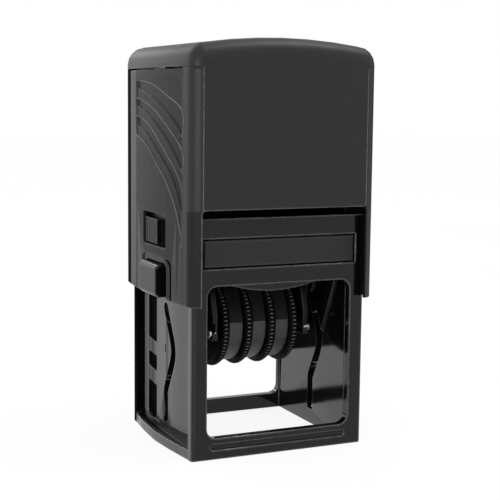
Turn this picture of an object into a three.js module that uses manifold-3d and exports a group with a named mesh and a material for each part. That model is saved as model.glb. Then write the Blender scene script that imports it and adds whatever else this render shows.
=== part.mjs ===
// Self-inking date stamp at rest, in millimetres: X along the front, front at -Y, +Z up, base at z = 0.
import * as THREE from "three";
import { mergeVertices } from "three/addons/utils/BufferGeometryUtils.js";
import loadManifold from "manifold-3d";

const manifold = await loadManifold();
manifold.setup();

// Sizes.
const fit = 0.3; // gap between pieces that rest on, guide or carry each other
const overrun = 2; // how far a cutting solid runs past what it cuts
const mirrored = [-1, 1]; // the left and the right copy of a piece
const cornerStep = 0.0001; // corners are rounded to this
const roundKeptShare = 0.2; // of a round edge's radius, however far its wall is drawn in
// steps in an arc drawn across an axis, twice as many in a full circle
const arcSteps = { corner: 2, window: 3, plain: 4, rivet: 6, pin: 8, skirt: 10 };

// the press stroke turns the type carrier over once, on a cam pin beside its pivot
const motion = {
  stroke: 38,
  camRadius: 6, // from the pivot to the cam pin
};

const frame = {
  flangeWidth: 4.5, // from a side wall's inner face to the frame's edge
  headroom: 3.4, // from the pad cartridge to the roof
  plate: 3, // thickness of the front and rear plates
  edgeRadius: 0.7,
  windowInset: 0.4, // of the front window's sides from the walls' inner faces
  windowBottom: 6.5,
  strip: 5.6, // height of the bar between the window and the pad cartridge
  windowRadius: 3,
  rearWindowInset: 0.1,
  rearWindowBottom: 5,
  rearWindowTop: 20,
  legGap: 0.35, // between a side wall and the bow's leg
  swingGap: 1.6, // between the plates and the type holder
  wallEnd: 1, // thickness of a side wall where it meets the plates
  wallBulge: 1.8, // extra thickness at the wall's middle
  wallFoot: 5.3, // height of the undercut below the wall's outer face
  skirt: 1, // thickness of the wall behind the undercut
  roof: 3,
  wallSteps: 8,
};
const lip = { inset: 0.1, bulge: 2, thickness: 1.2, height: 3, floor: 1 };
const barGroove = { bottom: 2.9, top: 4.5, depth: 0.8, endInset: 1.2, roundShare: 0.98 };
const slot = { halfWidth: 1.8, bottom: 5, steps: 18, endSteps: 6 };
const keyhole = { y: 0.6, halfWidth: 0.45, bottom: 27.8, top: 30.3 };
const ladder = {
  front: 9.3,
  rear: 16.8,
  radius: 0.6,
  upperBottom: 29.4,
  upperTop: 55,
  windowBottom: 20,
  windowTop: 24.8,
  lowerTop: 15.3,
  skin: 0.7, // thickness of the wall that closes the recesses
};
const track = { width: 1.6, depth: 0.5, lowY: -5.2, lowZ: 27, highY: -16, highZ: 50 };
const ledge = { width: 2.7, height: 4.3 };
const springCup = { radius: 8, wall: 1.5, depth: 4.1, floor: 1.6, steps: 12 };

const cartridge = {
  frontHeight: 8.1,
  frontReach: 0.8, // of the front, past the side walls' inner faces
  frontThickness: 2.7,
  sideGap: 2,
  belowWall: 0.35, // how far the pad's face lies below the tray's walls
  rearGap: 0.3,
  wall: 1.4,
  ceiling: 1.2,
  frontEdge: 0.4,
};
const pad = { aboveDie: 2.75, thickness: 3.45 };

const hood = {
  frontGap: 2.2, // between the frame and the hood's front wall
  cornerRadius: 4,
  bulge: 1.8,
  pressedBottom: 8.5, // height of the lower edge when the hood is pressed down
  top: 4.1, // from the neck to the crest
  crown: 2, // drop of the top from the middle to the ends of the front edge
  topRadius: 4.7,
  wall: 1.4,
  capHeight: 9, // from the seam under the cap to the crest
  strip: 4.2, // width of the front beside its window
  windowGap: 2.5, // from the frame's top to the front window's upper edge
  rearDrop: 8.6, // how far the rear window's upper edge lies below the front one's
  windowRadius: 1.4,
  skin: 1.5, // thickness of the wall behind the front panel
  ledge: 2,
  neckGap: 0.5, // between the neck and the bow
  neckWall: 1.5,
  cornerSteps: 4,
  sideSteps: 8,
  frontSteps: 6,
  roundSteps: 4,
};
const cover = { cap: 1.4, panel: 1, seamGap: 0.3 };
const sidePanel = {
  frontInset: 7.1, // from the hood's front and rear
  rearInset: 14.7,
  step: 0.35, // how deep the panel lies below the hood's borders
  crescent: 0.45, // how much deeper the crescents lie
  bottomRise: 13.5, // from the hood's lower edge
  topDrop: 3.3, // from the seam
};
// the curves on the hood's side, from the rear edge to the front, as shares of the panel's depth and height
const panelCurveShares = {
  upper: [[0, 1], [0.36, 0.98], [0.71, 0.91], [1, 0.825]],
  upperLow: [[0, 0.955], [0.4, 0.9], [0.76, 0.795], [1, 0.68]],
  middle: [[0, 0.895], [0.4, 0.84], [0.71, 0.74], [1, 0.6]],
  middleLow: [[0, 0.85], [0.36, 0.785], [0.75, 0.635], [1, 0.475]],
  lower: [[0, 0.79], [0.36, 0.73], [0.71, 0.575], [0.92, 0.46], [1, 0.35]],
  lowerLow: [[0, 0.735], [0.25, 0.69], [0.54, 0.58], [0.82, 0.435], [1, 0.215]],
  border: [[0, 0.68], [0.28, 0.62], [0.48, 0.535], [0.71, 0.415], [0.88, 0.27], [1, 0.07]],
};
const crescentShares = [["upper", "upperLow"], ["middle", "middleLow"], ["lower", "lowerLow"]];
const crescentFrontGap = 0.5;
const panelSpanSteps = 3; // points in each span of a curve
// rises are measured from the hood's lower edge
const sideWindow = { front: -12.1, rear: 7.3, rise: 15.6, height: 9.9, radius: 1 };
const pocket = { front: -16, rear: 8.2, topRise: 12.5, depth: 0.6, radius: 2.5 };

const button = {
  front: -10.5,
  rear: 6.1,
  topRise: 10.4,
  lift: 0.4, // how far the button's lower edge lies above the hood's
  stand: 1.9, // how far the pressed face stands out, and how far it can be pushed
  edge: 1,
  radius: 1.6,
  plateFront: -12.6,
  plateRear: 16.2,
  plateTopRise: 12.3,
  plateInset: 0.7, // from the hood's side
  plate: 0.6,
  hookFront: 9.9,
  hookRise: 1.5,
  hook: 3, // height of the hook
};

const bow = {
  headroom: 0.5, // above the frame's top when the hood is pressed down
  bar: 2.4,
  front: -14,
  rear: 15,
  cupRadius: 8,
  cupWall: 1.5,
  cupCeiling: 1.4,
  cupDepth: 6.4, // from the bar's underside to the spring's seat
  legGap: 1.35, // between the type holder and a leg
  leg: 1.3,
  legFront: 3,
  legBelow: 4, // how far the leg runs below the pivot
  boss: 4,
  cheekInset: 2.2, // from the hood's side
  cheek: 1.4,
  cheekRear: 8,
  cheekDrop: 1.1, // from the side window's lower edge
  snapInset: 0.8, // from the hood's side at its fullest
  ribs: 4,
  rib: 0.5,
};
const hoodRib = { inside: 12, outside: 24, halfDepth: 3 };

const spring = { radius: 6.4, wire: 1.2, turns: 8, endPitch: 1.75, stepsPerTurn: 8, sides: 5 };

const holder = {
  lugBorder: 0.4, // width of the plate beside a lug
  dieBorder: 1.3, // width of the plate before and behind the die
  thickness: 3,
  topAbovePivot: 7.5,
  radius: 1,
  windowHalfDepth: 5.7,
  skirt: 1.2,
  skirtInset: 3.2,
  skirtDrop: 3.4,
  lugGap: 2.4, // between a lug and the wheel bracket
  lug: 1.8,
  lugHalfDepth: 5,
  lugRound: 3.3,
};
const die = {
  sideInset: 1, // from the plate's edge
  halfDepth: 20.2,
  faceAbovePivot: 10,
  relief: 1.1,
  border: 1.2,
  line: 2,
  windowHalfDepth: 4,
};
// each line of the die: its place between the date window and the border, and its length, as shares
const dieLineShares = [[0.3, 0.8], [0.7, 0.65]];

const wheels = {
  bridgeGap: 0.7, // between the wheels and the bridge above them
  discRadius: 13.9,
  discWidth: 2.5,
  toothDepth: 0.55,
  teeth: 68,
  leftShift: 0.6, // of the row of wheels from the middle
  pitch: 7.8,
  rim: 2.2,
  hub: 4,
  recess: 0.6,
  roundSteps: 18,
};
const band = { sink: 1.6, thickness: 1.2, tipHalfWidth: 2.5, roundSteps: 16 };
const axle = { radius: 1.5, overhang: 1 };
const bracket = {
  gap: 1.05, // beside the row of wheels
  cheek: 1.8,
  halfDepth: 9,
  boss: 4.2,
  frontReach: 12.6,
  frontDrop: 3.7, // below the axle
  frontRise: 3.8,
  strap: 1.7,
  strapFront: 7,
};
// the rivet's place is measured from the bracket's front corner
const rivet = { radius: 1.3, behind: 1.6, above: 2.2, head: 0.8, inset: 0.3 };
// reaches of the pins: inwards from the lug, outwards up to or past the frame's inner face
const pivotPin = { radius: 2.2, inner: 1.6, endGap: 0.4 };
const camPin = { radius: 1.5, inner: 1.2, outer: 2.6 };
const bridge = { web: 1.4, below: 1.2, halfWidth: 1.1 };

const dates = ["day", "month", "year"];

// Places worked out from the sizes.
// the printing face meets the base plane when the hood is pressed down
const pivotHeight = motion.stroke + die.faceAbovePivot;
const camHeight = pivotHeight - motion.camRadius;
const dieFace = pivotHeight + die.faceAbovePivot;
const holderTop = pivotHeight + holder.topAbovePivot;
const holderBottom = holderTop - holder.thickness;
const bridgeBottom = holderBottom - bridge.below;
const axleHeight = bridgeBottom - wheels.bridgeGap - wheels.discRadius;
const bandRadius = wheels.discRadius - band.sink;
const bracketTop = holderBottom - fit;
const bracketFrontBottom = axleHeight - bracket.frontDrop;
const bracketFrontTop = axleHeight + bracket.frontRise;
const padBottom = dieFace + pad.aboveDie;
const trayBottom = padBottom + cartridge.belowWall;
const cartridgeTop = padBottom + pad.thickness + fit + cartridge.ceiling;
const cartridgeBottom = cartridgeTop - cartridge.frontHeight;
const roofBottom = cartridgeTop + frame.headroom;
const frameTop = roofBottom + frame.roof;
const frontWindowTop = cartridgeBottom - frame.strip;
const springFloor = frameTop - springCup.depth;
const barBottom = frameTop + motion.stroke + bow.headroom;
const cupSeat = barBottom + bow.cupDepth;
const neckTop = cupSeat + bow.cupCeiling + hood.neckGap + hood.neckWall;
const hoodCrest = neckTop + hood.top;
const hoodSeam = hoodCrest - hood.capHeight;
const hoodBottom = motion.stroke + hood.pressedBottom;
const hoodWindowTop = frameTop + hood.windowGap;
const rearWindowTop = hoodWindowTop - hood.rearDrop;
const wheelRow = wheels.pitch * dates.length / 2;
const firstX = -wheelRow - wheels.leftShift;
const bracketInside = wheelRow + wheels.leftShift + wheels.discWidth / 2 + bracket.gap;
const bracketOutside = bracketInside + bracket.cheek;
const lugInside = bracketOutside + holder.lugGap;
const holderHalfWidth = lugInside + holder.lug + holder.lugBorder;
const holderHalfDepth = die.halfDepth + holder.dieBorder;
const dieHalfWidth = holderHalfWidth - die.sideInset;
const legInside = holderHalfWidth + bow.legGap;
const legOutside = legInside + bow.leg;
const frameInside = legOutside + frame.legGap;
const frontInside = holderHalfDepth + frame.swingGap;
const frameHalfWidth = frameInside + frame.flangeWidth;
const windowHalfWidth = frameInside - frame.windowInset;
const rearWindowHalfWidth = frameInside - frame.rearWindowInset;
const frameHalfDepth = frontInside + frame.plate;
const hoodHalfWidth = frameHalfWidth + fit + hood.wall;
const hoodHalfDepth = frameHalfDepth + hood.frontGap + hood.wall;
const rivetY = rivet.behind - bracket.frontReach;
const rivetHeight = bracketFrontBottom + rivet.above;
const plateOutside = hoodHalfWidth - button.plateInset;
const cheekInside = hoodHalfWidth - bow.cheekInset;
const cheekOutside = cheekInside + bow.cheek;
const snapFace = hoodHalfWidth + hood.bulge - bow.snapInset;
const panelFront = sidePanel.frontInset - hoodHalfDepth;
const panelRear = hoodHalfDepth - sidePanel.rearInset;
const hoodWindow = hoodHalfWidth - hood.strip;
const hoodReach = Math.max(hoodHalfWidth + hood.bulge, hoodHalfDepth) + overrun;
const panelBottom = hoodBottom + sidePanel.bottomRise;
const panelTop = hoodSeam - sidePanel.topDrop;
const sideWindowBottom = hoodBottom + sideWindow.rise;
const sideWindowTop = sideWindowBottom + sideWindow.height;
const buttonTop = hoodBottom + button.topRise;
const hookBottom = hoodBottom + button.hookRise;
const barTop = barBottom + bow.bar;

// Geometry helpers.
function toSolid(geometry) {
  const plain = geometry.clone();
  plain.deleteAttribute("normal");
  plain.deleteAttribute("uv");
  // flat faces that should lie in one plane do so exactly once their corners are rounded alike
  const corners = plain.attributes.position.array;
  corners.forEach((value, i) => {
    corners[i] = Math.round(value / cornerStep) * cornerStep;
  });
  const welded = mergeVertices(plain, cornerStep / 2);
  const mesh = new manifold.Mesh({
    numProp: 3,
    vertProperties: new Float32Array(welded.attributes.position.array),
    triVerts: new Uint32Array(welded.index.array),
  });
  return new manifold.Manifold(mesh);
}

function toGeometry(solid) {
  const mesh = solid.getMesh();
  const count = mesh.vertProperties.length / mesh.numProp;
  const positions = new Float32Array(count * 3);
  for (let i = 0; i < count; i += 1) {
    for (let k = 0; k < 3; k += 1) {
      positions[3 * i + k] = mesh.vertProperties[mesh.numProp * i + k];
    }
  }
  const geometry = new THREE.BufferGeometry();
  geometry.setAttribute("position", new THREE.BufferAttribute(positions, 3));
  geometry.setIndex(new THREE.BufferAttribute(new Uint32Array(mesh.triVerts), 1));
  geometry.computeVertexNormals();
  return geometry;
}

const join = (...solids) => solids.flat(2).reduce((sum, next) => sum.add(next));
const cut = (solid, ...tools) => tools.flat(2).reduce((rest, tool) => rest.subtract(tool), solid);

function box(x0, x1, y0, y1, z0, z1) {
  const geometry = new THREE.BoxGeometry(Math.abs(x1 - x0), Math.abs(y1 - y0), Math.abs(z1 - z0));
  geometry.translate((x0 + x1) / 2, (y0 + y1) / 2, (z0 + z1) / 2);
  return toSolid(geometry);
}

// a box with the same place on the left or on the right of the middle
const sideBox = (side, near, far, ...rest) => box(side * near, side * far, ...rest);

const axes = {
  x: [new THREE.Vector3(0, 1, 0), new THREE.Vector3(0, 0, 1), new THREE.Vector3(1, 0, 0)],
  y: [new THREE.Vector3(1, 0, 0), new THREE.Vector3(0, 0, 1), new THREE.Vector3(0, -1, 0)],
  z: [new THREE.Vector3(1, 0, 0), new THREE.Vector3(0, 1, 0), new THREE.Vector3(0, 0, 1)],
};

// A shape drawn across an axis and drawn out along it: (y, z) along x, (x, z) along y, (x, y) along z.
function prism(shape, axis, from, to, curveSegments = arcSteps.plain, bevel = 0) {
  const low = Math.min(from, to);
  const high = Math.max(from, to);
  const geometry = new THREE.ExtrudeGeometry(shape, {
    depth: high - low - 2 * bevel,
    bevelEnabled: bevel > 0,
    bevelThickness: bevel,
    bevelSize: bevel,
    bevelOffset: -bevel,
    bevelSegments: 1,
    curveSegments,
  });
  geometry.translate(0, 0, bevel);
  geometry.applyMatrix4(new THREE.Matrix4().makeBasis(...axes[axis]));
  const start = axis === "y" ? high : low;
  geometry.translate(axis === "x" ? start : 0, axis === "y" ? start : 0, axis === "z" ? start : 0);
  return toSolid(geometry);
}

const outline = (points) => new THREE.Shape(points.map(([a, b]) => new THREE.Vector2(a, b)));

function roundedRectangle(a0, a1, b0, b1, radius) {
  const shape = new THREE.Shape();
  shape.moveTo(a0 + radius, b0);
  shape.lineTo(a1 - radius, b0);
  shape.absarc(a1 - radius, b0 + radius, radius, -Math.PI / 2, 0);
  shape.lineTo(a1, b1 - radius);
  shape.absarc(a1 - radius, b1 - radius, radius, 0, Math.PI / 2);
  shape.lineTo(a0 + radius, b1);
  shape.absarc(a0 + radius, b1 - radius, radius, Math.PI / 2, Math.PI);
  shape.lineTo(a0, b0 + radius);
  shape.absarc(a0 + radius, b0 + radius, radius, Math.PI, 1.5 * Math.PI);
  return shape;
}

function disc(radius, y, z) {
  const shape = new THREE.Shape();
  shape.absarc(y, z, radius, 0, 2 * Math.PI);
  return shape;
}

// A round bar along x.
const rod = (radius, x0, x1, y, z, steps = arcSteps.pin) => prism(disc(radius, y, z), "x", x0, x1, steps);

// The hood's outer form, drawn in by an inset.
const drawnIn = (radius, inset) => Math.max(radius - inset, radius * roundKeptShare);

function hoodPlan(inset) {
  const halfWidth = hoodHalfWidth - inset;
  const halfDepth = hoodHalfDepth - inset;
  const radius = drawnIn(hood.cornerRadius, inset);
  const flat = halfWidth - radius;
  const points = [];
  for (let i = 0; i <= hood.frontSteps; i += 1) {
    points.push([flat * (2 * i / hood.frontSteps - 1), -halfDepth]);
  }
  for (let i = 1; i <= hood.cornerSteps; i += 1) {
    const turn = Math.PI / 2 * (i / hood.cornerSteps);
    points.push([flat + radius * Math.sin(turn), -halfDepth + radius - radius * Math.cos(turn)]);
  }
  const reach = halfDepth - radius;
  for (let i = 1; i < hood.sideSteps; i += 1) {
    const share = 2 * i / hood.sideSteps - 1;
    points.push([halfWidth + hood.bulge * (1 - share * share), reach * share]);
  }
  for (let i = 0; i < hood.cornerSteps; i += 1) {
    const turn = Math.PI / 2 * (i / hood.cornerSteps);
    points.push([flat + radius * Math.cos(turn), reach + radius * Math.sin(turn)]);
  }
  // the other half is the same one turned round
  return [...points, ...points.map(([x, y]) => [-x, -y])];
}

function hoodForm(inset, bottom = hoodBottom) {
  const rings = [];
  const topAt = (x) => {
    const share = x / hoodWindow;
    return hoodCrest - inset - hood.crown * share * share;
  };
  const radius = drawnIn(hood.topRadius, inset);
  rings.push(hoodPlan(inset).map(([x, y]) => [x, y, bottom]));
  for (let i = 0; i <= hood.roundSteps; i += 1) {
    const turn = Math.PI / 2 * (i / hood.roundSteps);
    const drawIn = radius * (1 - Math.cos(turn));
    const drop = radius * (1 - Math.sin(turn));
    rings.push(hoodPlan(inset + drawIn).map(([x, y]) => [x, y, topAt(x) - drop]));
  }
  const count = rings[0].length;
  const positions = rings.flat().flat();
  const index = [];
  for (let k = 0; k + 1 < rings.length; k += 1) {
    for (let i = 0; i < count; i += 1) {
      const a = k * count + i;
      const b = k * count + (i + 1) % count;
      index.push(a, b, b + count, a, b + count, a + count);
    }
  }
  // the ring's front edge and rear edge have matching points, so strips between them follow the crown
  const last = (rings.length - 1) * count;
  const half = count / 2;
  const capFaces = (start, flip) => {
    const faces = [];
    for (let i = 0; i < hood.frontSteps; i += 1) {
      const rear = half + hood.frontSteps - i;
      faces.push([i, i + 1, rear - 1], [i, rear - 1, rear]);
    }
    for (let i = hood.frontSteps; i + 2 <= half; i += 1) {
      faces.push([hood.frontSteps, i + 1, i + 2]);
    }
    for (let i = half + hood.frontSteps; i + 2 <= count; i += 1) {
      faces.push([half + hood.frontSteps, i + 1, (i + 2) % count]);
    }
    for (const face of faces) {
      const [a, b, c] = face.map((n) => start + n);
      index.push(...(flip ? [a, c, b] : [a, b, c]));
    }
  };
  capFaces(0, true);
  capFaces(last, false);
  const geometry = new THREE.BufferGeometry();
  geometry.setAttribute("position", new THREE.Float32BufferAttribute(positions, 3));
  geometry.setIndex(index);
  return toSolid(geometry);
}

// Frame.
function camPath() {
  const points = [];
  for (let i = 0; i <= slot.steps; i += 1) {
    const share = i / slot.steps;
    const turn = Math.PI * share;
    const y = -motion.camRadius * Math.sin(turn);
    const z = pivotHeight - motion.stroke * share - motion.camRadius * Math.cos(turn);
    points.push([y, z]);
  }
  return points;
}

// A slot of one width along a path, with a round upper end.
function slotOutline(path, halfWidth) {
  const wayAt = (i) => {
    const before = path[Math.max(i - 1, 0)];
    const after = path[Math.min(i + 1, path.length - 1)];
    return new THREE.Vector2(after[0] - before[0], after[1] - before[1]).normalize();
  };
  const left = path.map(([y, z], i) => [y + wayAt(i).y * halfWidth, z - wayAt(i).x * halfWidth]);
  const right = path.map(([y, z], i) => [y - wayAt(i).y * halfWidth, z + wayAt(i).x * halfWidth]);
  const start = wayAt(0);
  const [firstY, firstZ] = path[0];
  const end = [];
  for (let k = 1; k < slot.endSteps; k += 1) {
    const angle = Math.PI * k / slot.endSteps;
    const across = halfWidth * Math.cos(angle);
    const back = halfWidth * Math.sin(angle);
    end.push([firstY - start.y * across - start.x * back, firstZ + start.x * across - start.y * back]);
  }
  return outline([...left, ...right.reverse(), ...end]);
}

function camSlot() {
  const path = camPath();
  const [endY, endZ] = path[path.length - 1];
  const bend = endZ - slot.halfWidth;
  return prism(
    slotOutline([...path, [endY, bend], [endY, slot.bottom]], slot.halfWidth),
    "x", -frameHalfWidth, frameHalfWidth,
  );
}

// The frame's footprint: two flanged plates with a gently bulged wall between them on each side.
function framePlan() {
  const { edgeRadius, wallBulge } = frame;
  const wall = frameInside + frame.wallEnd;
  const shape = new THREE.Shape();
  shape.moveTo(-frameHalfWidth + edgeRadius, -frameHalfDepth);
  shape.lineTo(frameHalfWidth - edgeRadius, -frameHalfDepth);
  shape.lineTo(frameHalfWidth, -frameHalfDepth + edgeRadius);
  shape.lineTo(frameHalfWidth, -frontInside);
  shape.lineTo(wall, -frontInside);
  shape.quadraticCurveTo(wall + 2 * wallBulge, 0, wall, frontInside);
  shape.lineTo(frameHalfWidth, frontInside);
  shape.lineTo(frameHalfWidth, frameHalfDepth - edgeRadius);
  shape.lineTo(frameHalfWidth - edgeRadius, frameHalfDepth);
  shape.lineTo(-frameHalfWidth + edgeRadius, frameHalfDepth);
  shape.lineTo(-frameHalfWidth, frameHalfDepth - edgeRadius);
  shape.lineTo(-frameHalfWidth, frontInside);
  shape.lineTo(-wall, frontInside);
  shape.quadraticCurveTo(-wall - 2 * wallBulge, 0, -wall, -frontInside);
  shape.lineTo(-frameHalfWidth, -frontInside);
  shape.lineTo(-frameHalfWidth, -frameHalfDepth + edgeRadius);
  return shape;
}

function lipPlan(side, inset) {
  const shape = new THREE.Shape();
  const edge = frameHalfWidth - lip.inset - inset;
  shape.moveTo(side * (frameInside + frame.skirt), -frontInside);
  shape.lineTo(side * edge, -frontInside);
  shape.quadraticCurveTo(side * (edge + 2 * lip.bulge), 0, side * edge, frontInside);
  shape.lineTo(side * (frameInside + frame.skirt), frontInside);
  return shape;
}

// The upturned rim that runs round the foot of a side wall, with a trough behind it.
function footRim(side) {
  return cut(
    prism(lipPlan(side, 0), "z", 0, lip.height, frame.wallSteps),
    prism(lipPlan(side, lip.thickness), "z", lip.floor, lip.height + overrun, frame.wallSteps),
  );
}

function padLedges(side) {
  const top = trayBottom - fit;
  const bottom = top - ledge.height;
  const inner = frameInside - ledge.width;
  return [
    sideBox(side, inner, frameInside + fit, -frontInside - fit, bow.legFront - fit, bottom, top),
    sideBox(side, inner, frameInside + fit, bow.rear + fit, frontInside + fit, bottom, top),
  ];
}

function frameShell() {
  const inside = box(-frameInside, frameInside, -frontInside, frontInside, -overrun, roofBottom);
  const undercuts = mirrored.map((side) => sideBox(
    side, frameInside + frame.skirt, frameHalfWidth + overrun, -frontInside, frontInside, -overrun,
    frame.wallFoot,
  ));
  const frontWindow = roundedRectangle(
    -windowHalfWidth, windowHalfWidth, frame.windowBottom, frontWindowTop, frame.windowRadius,
  );
  const rearWindow = roundedRectangle(
    -rearWindowHalfWidth, rearWindowHalfWidth, frame.rearWindowBottom, frame.rearWindowTop,
    frame.windowRadius,
  );
  return cut(
    prism(framePlan(), "z", 0, frameTop, frame.wallSteps), inside, undercuts,
    prism(frontWindow, "y", -frameHalfDepth - overrun, 0, arcSteps.window),
    prism(rearWindow, "y", 0, frameHalfDepth + overrun, arcSteps.window),
  );
}

// Recesses in the outer face of a side wall for the lock hook.
function ladderCuts(side) {
  const recess = (bottom, top) => prism(
    roundedRectangle(ladder.front, ladder.rear, bottom, top, ladder.radius),
    "x", side * (frameInside + ladder.skin), side * frameHalfWidth, arcSteps.corner,
  );
  return [
    recess(ladder.upperBottom, ladder.upperTop),
    recess(ladder.windowBottom, ladder.windowTop),
    recess(frame.wallFoot - overrun, ladder.lowerTop),
  ];
}

// A shallow track on the inner face of a side wall, along which the cam pin is snapped in.
function trackCut(side) {
  const half = track.width / 2;
  const shape = outline([
    [track.lowY - half, track.lowZ],
    [track.lowY + half, track.lowZ],
    [track.highY + half, track.highZ],
    [track.highY + half, frontWindowTop + overrun],
    [track.highY - half, frontWindowTop + overrun],
    [track.highY - half, track.highZ],
  ]);
  return prism(shape, "x", side * (frameInside - overrun), side * (frameInside + track.depth));
}

function makeFrame() {
  const cupOutside = springCup.radius + springCup.wall;
  const cup = prism(
    disc(cupOutside, 0, 0), "z", springFloor - springCup.floor, roofBottom + fit, springCup.steps,
  );
  const solid = join(frameShell(), mirrored.map(footRim), mirrored.map(padLedges), cup);
  const drawerSlot = box(
    -cartridgeFront - fit, cartridgeFront + fit,
    -frameHalfDepth - overrun, -frontInside, cartridgeBottom - fit, cartridgeTop + fit,
  );
  const legSlots = mirrored.map((side) => sideBox(
    side, legInside - fit, frameInside, bow.legFront - fit, bow.rear + fit, roofBottom - overrun,
    frameTop + overrun,
  ));
  const grooveEnd = windowHalfWidth - barGroove.endInset;
  const grooveHalf = (barGroove.top - barGroove.bottom) / 2;
  const groove = prism(
    roundedRectangle(-grooveEnd, grooveEnd, barGroove.bottom, barGroove.top, grooveHalf * barGroove.roundShare),
    "y", -frameHalfDepth - overrun, -frameHalfDepth + barGroove.depth, arcSteps.window,
  );
  const key = box(
    -frameHalfWidth, frameHalfWidth, keyhole.y - keyhole.halfWidth, keyhole.y + keyhole.halfWidth,
    keyhole.bottom, keyhole.top,
  );
  return cut(
    solid,
    prism(disc(springCup.radius, 0, 0), "z", springFloor, frameTop + overrun, springCup.steps),
    drawerSlot, legSlots, groove, key, camSlot(), mirrored.map(ladderCuts), mirrored.map(trackCut),
  );
}

// Pad cartridge.
const cartridgeFront = frameInside + cartridge.frontReach;
const trayHalfWidth = frameInside - cartridge.sideGap;
const padHalfWidth = trayHalfWidth - cartridge.wall;
const trayRear = frontInside - cartridge.rearGap;
const trayFront = -frameHalfDepth + cartridge.frontThickness;

function makePadTray() {
  const front = prism(
    outline([
      [-cartridgeFront, cartridgeBottom],
      [cartridgeFront, cartridgeBottom],
      [cartridgeFront, cartridgeTop],
      [-cartridgeFront, cartridgeTop],
    ]),
    "y", -frameHalfDepth, trayFront, arcSteps.corner, cartridge.frontEdge,
  );
  const tray = box(-trayHalfWidth, trayHalfWidth, trayFront - fit, trayRear, trayBottom,
    cartridgeTop);
  const recess = box(
    -padHalfWidth, padHalfWidth, trayFront + cartridge.wall, trayRear - cartridge.wall,
    trayBottom - overrun, cartridgeTop - cartridge.ceiling,
  );
  return cut(join(front, tray), recess);
}

function makeInkPad() {
  return box(
    -padHalfWidth + fit, padHalfWidth - fit, trayFront + cartridge.wall + fit, trayRear - cartridge.wall - fit,
    padBottom, cartridgeTop - cartridge.ceiling - fit,
  );
}

// Hood and its cover.
function panelPoint([depthShare, heightShare]) {
  return [
    panelRear + (panelFront - panelRear) * depthShare,
    panelBottom + (panelTop - panelBottom) * heightShare,
  ];
}

// One curve of the side panel as points, smoothed through its shares.
function panelCurve(name) {
  const corners = panelCurveShares[name].map((shares) => new THREE.Vector2(...panelPoint(shares)));
  const curve = new THREE.SplineCurve(corners);
  return curve.getPoints(panelSpanSteps * (corners.length - 1)).map((p) => [p.x, p.y]);
}

// What lies outside the hood's form at a depth, within a shape drawn on its side.
function sideRecess(shape, depth) {
  const side = prism(shape, "x", -hoodReach, hoodReach, arcSteps.corner);
  return cut(side, hoodForm(depth, hoodBottom - 2 * overrun));
}

function sideRecesses() {
  const border = panelCurve("border");
  const field = outline([...border, [panelFront, panelTop], [panelRear, panelTop]]);
  const crescents = crescentShares.map(([high, low]) => {
    const upper = panelCurve(high).map(([y, z]) => [Math.max(y, panelFront + crescentFrontGap), z]);
    const lower = panelCurve(low).map(([y, z]) => [Math.max(y, panelFront + crescentFrontGap), z]);
    return sideRecess(outline([...upper, ...lower.reverse()]), sidePanel.step + sidePanel.crescent);
  });
  const pocketShape = roundedRectangle(
    pocket.front, pocket.rear, hoodBottom - 2 * pocket.radius, hoodBottom + pocket.topRise, pocket.radius,
  );
  return [sideRecess(field, sidePanel.step), ...crescents, sideRecess(pocketShape, pocket.depth)];
}

const hoodWindowTopOn = (side) => (side < 0 ? hoodWindowTop : rearWindowTop);

function makeHoodShell() {
  const seamLow = hoodSeam - cover.seamGap / 2;
  const above = (z) => box(-hoodReach, hoodReach, -hoodReach, hoodReach, z, hoodCrest + overrun);
  const walls = cut(hoodForm(0), hoodForm(hood.wall, hoodBottom - overrun), above(seamLow));
  const neckInset = cover.cap + fit;
  const neckInside = neckInset + hood.neckWall;
  const ledgeBottom = seamLow - hood.ledge;
  const ledgeRing = cut(
    hoodForm(hood.wall / 2, ledgeBottom), hoodForm(neckInside, ledgeBottom - overrun), above(seamLow),
  );
  const neck = cut(
    hoodForm(neckInset, seamLow - fit), above(neckTop),
    cut(hoodForm(neckInside, seamLow - overrun), above(neckTop - hood.neckWall)),
  );
  const skinFace = hoodHalfDepth - cover.panel - fit;
  const skins = mirrored.map((side) => box(
    -hoodHalfWidth + hood.wall, hoodHalfWidth - hood.wall, side * skinFace, side * (skinFace - hood.skin),
    hoodWindowTopOn(side), seamLow,
  ));
  const ribs = mirrored.map((side) => sideBox(
    side, hoodRib.inside, hoodRib.outside, -hoodRib.halfDepth, hoodRib.halfDepth, barTop + fit,
    neckTop - hood.neckWall + fit,
  ));
  const solid = join(walls, ledgeRing, neck, skins, ribs);
  const panelSeat = mirrored.map((side) => box(
    -hoodWindow - fit / 2, hoodWindow + fit / 2,
    side * skinFace, side * (hoodHalfDepth + overrun), hoodWindowTopOn(side) - fit, seamLow + fit / 2,
  ));
  const windows = mirrored.map((side) => prism(
    roundedRectangle(-hoodWindow, hoodWindow, hoodBottom - 2 * hood.windowRadius, hoodWindowTopOn(side),
      hood.windowRadius),
    "y", 0, side * (hoodHalfDepth + overrun), arcSteps.window,
  ));
  const sideHoles = [
    prism(
      roundedRectangle(sideWindow.front, sideWindow.rear, sideWindowBottom, sideWindowTop, sideWindow.radius),
      "x", -hoodReach, hoodReach, arcSteps.corner,
    ),
    prism(
      roundedRectangle(button.front - fit, button.rear + fit, hoodBottom - 2 * button.radius, buttonTop + fit,
        button.radius),
      "x", -hoodReach, hoodReach, arcSteps.corner,
    ),
  ];
  return cut(solid, panelSeat, windows, sideHoles, sideRecesses());
}

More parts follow.
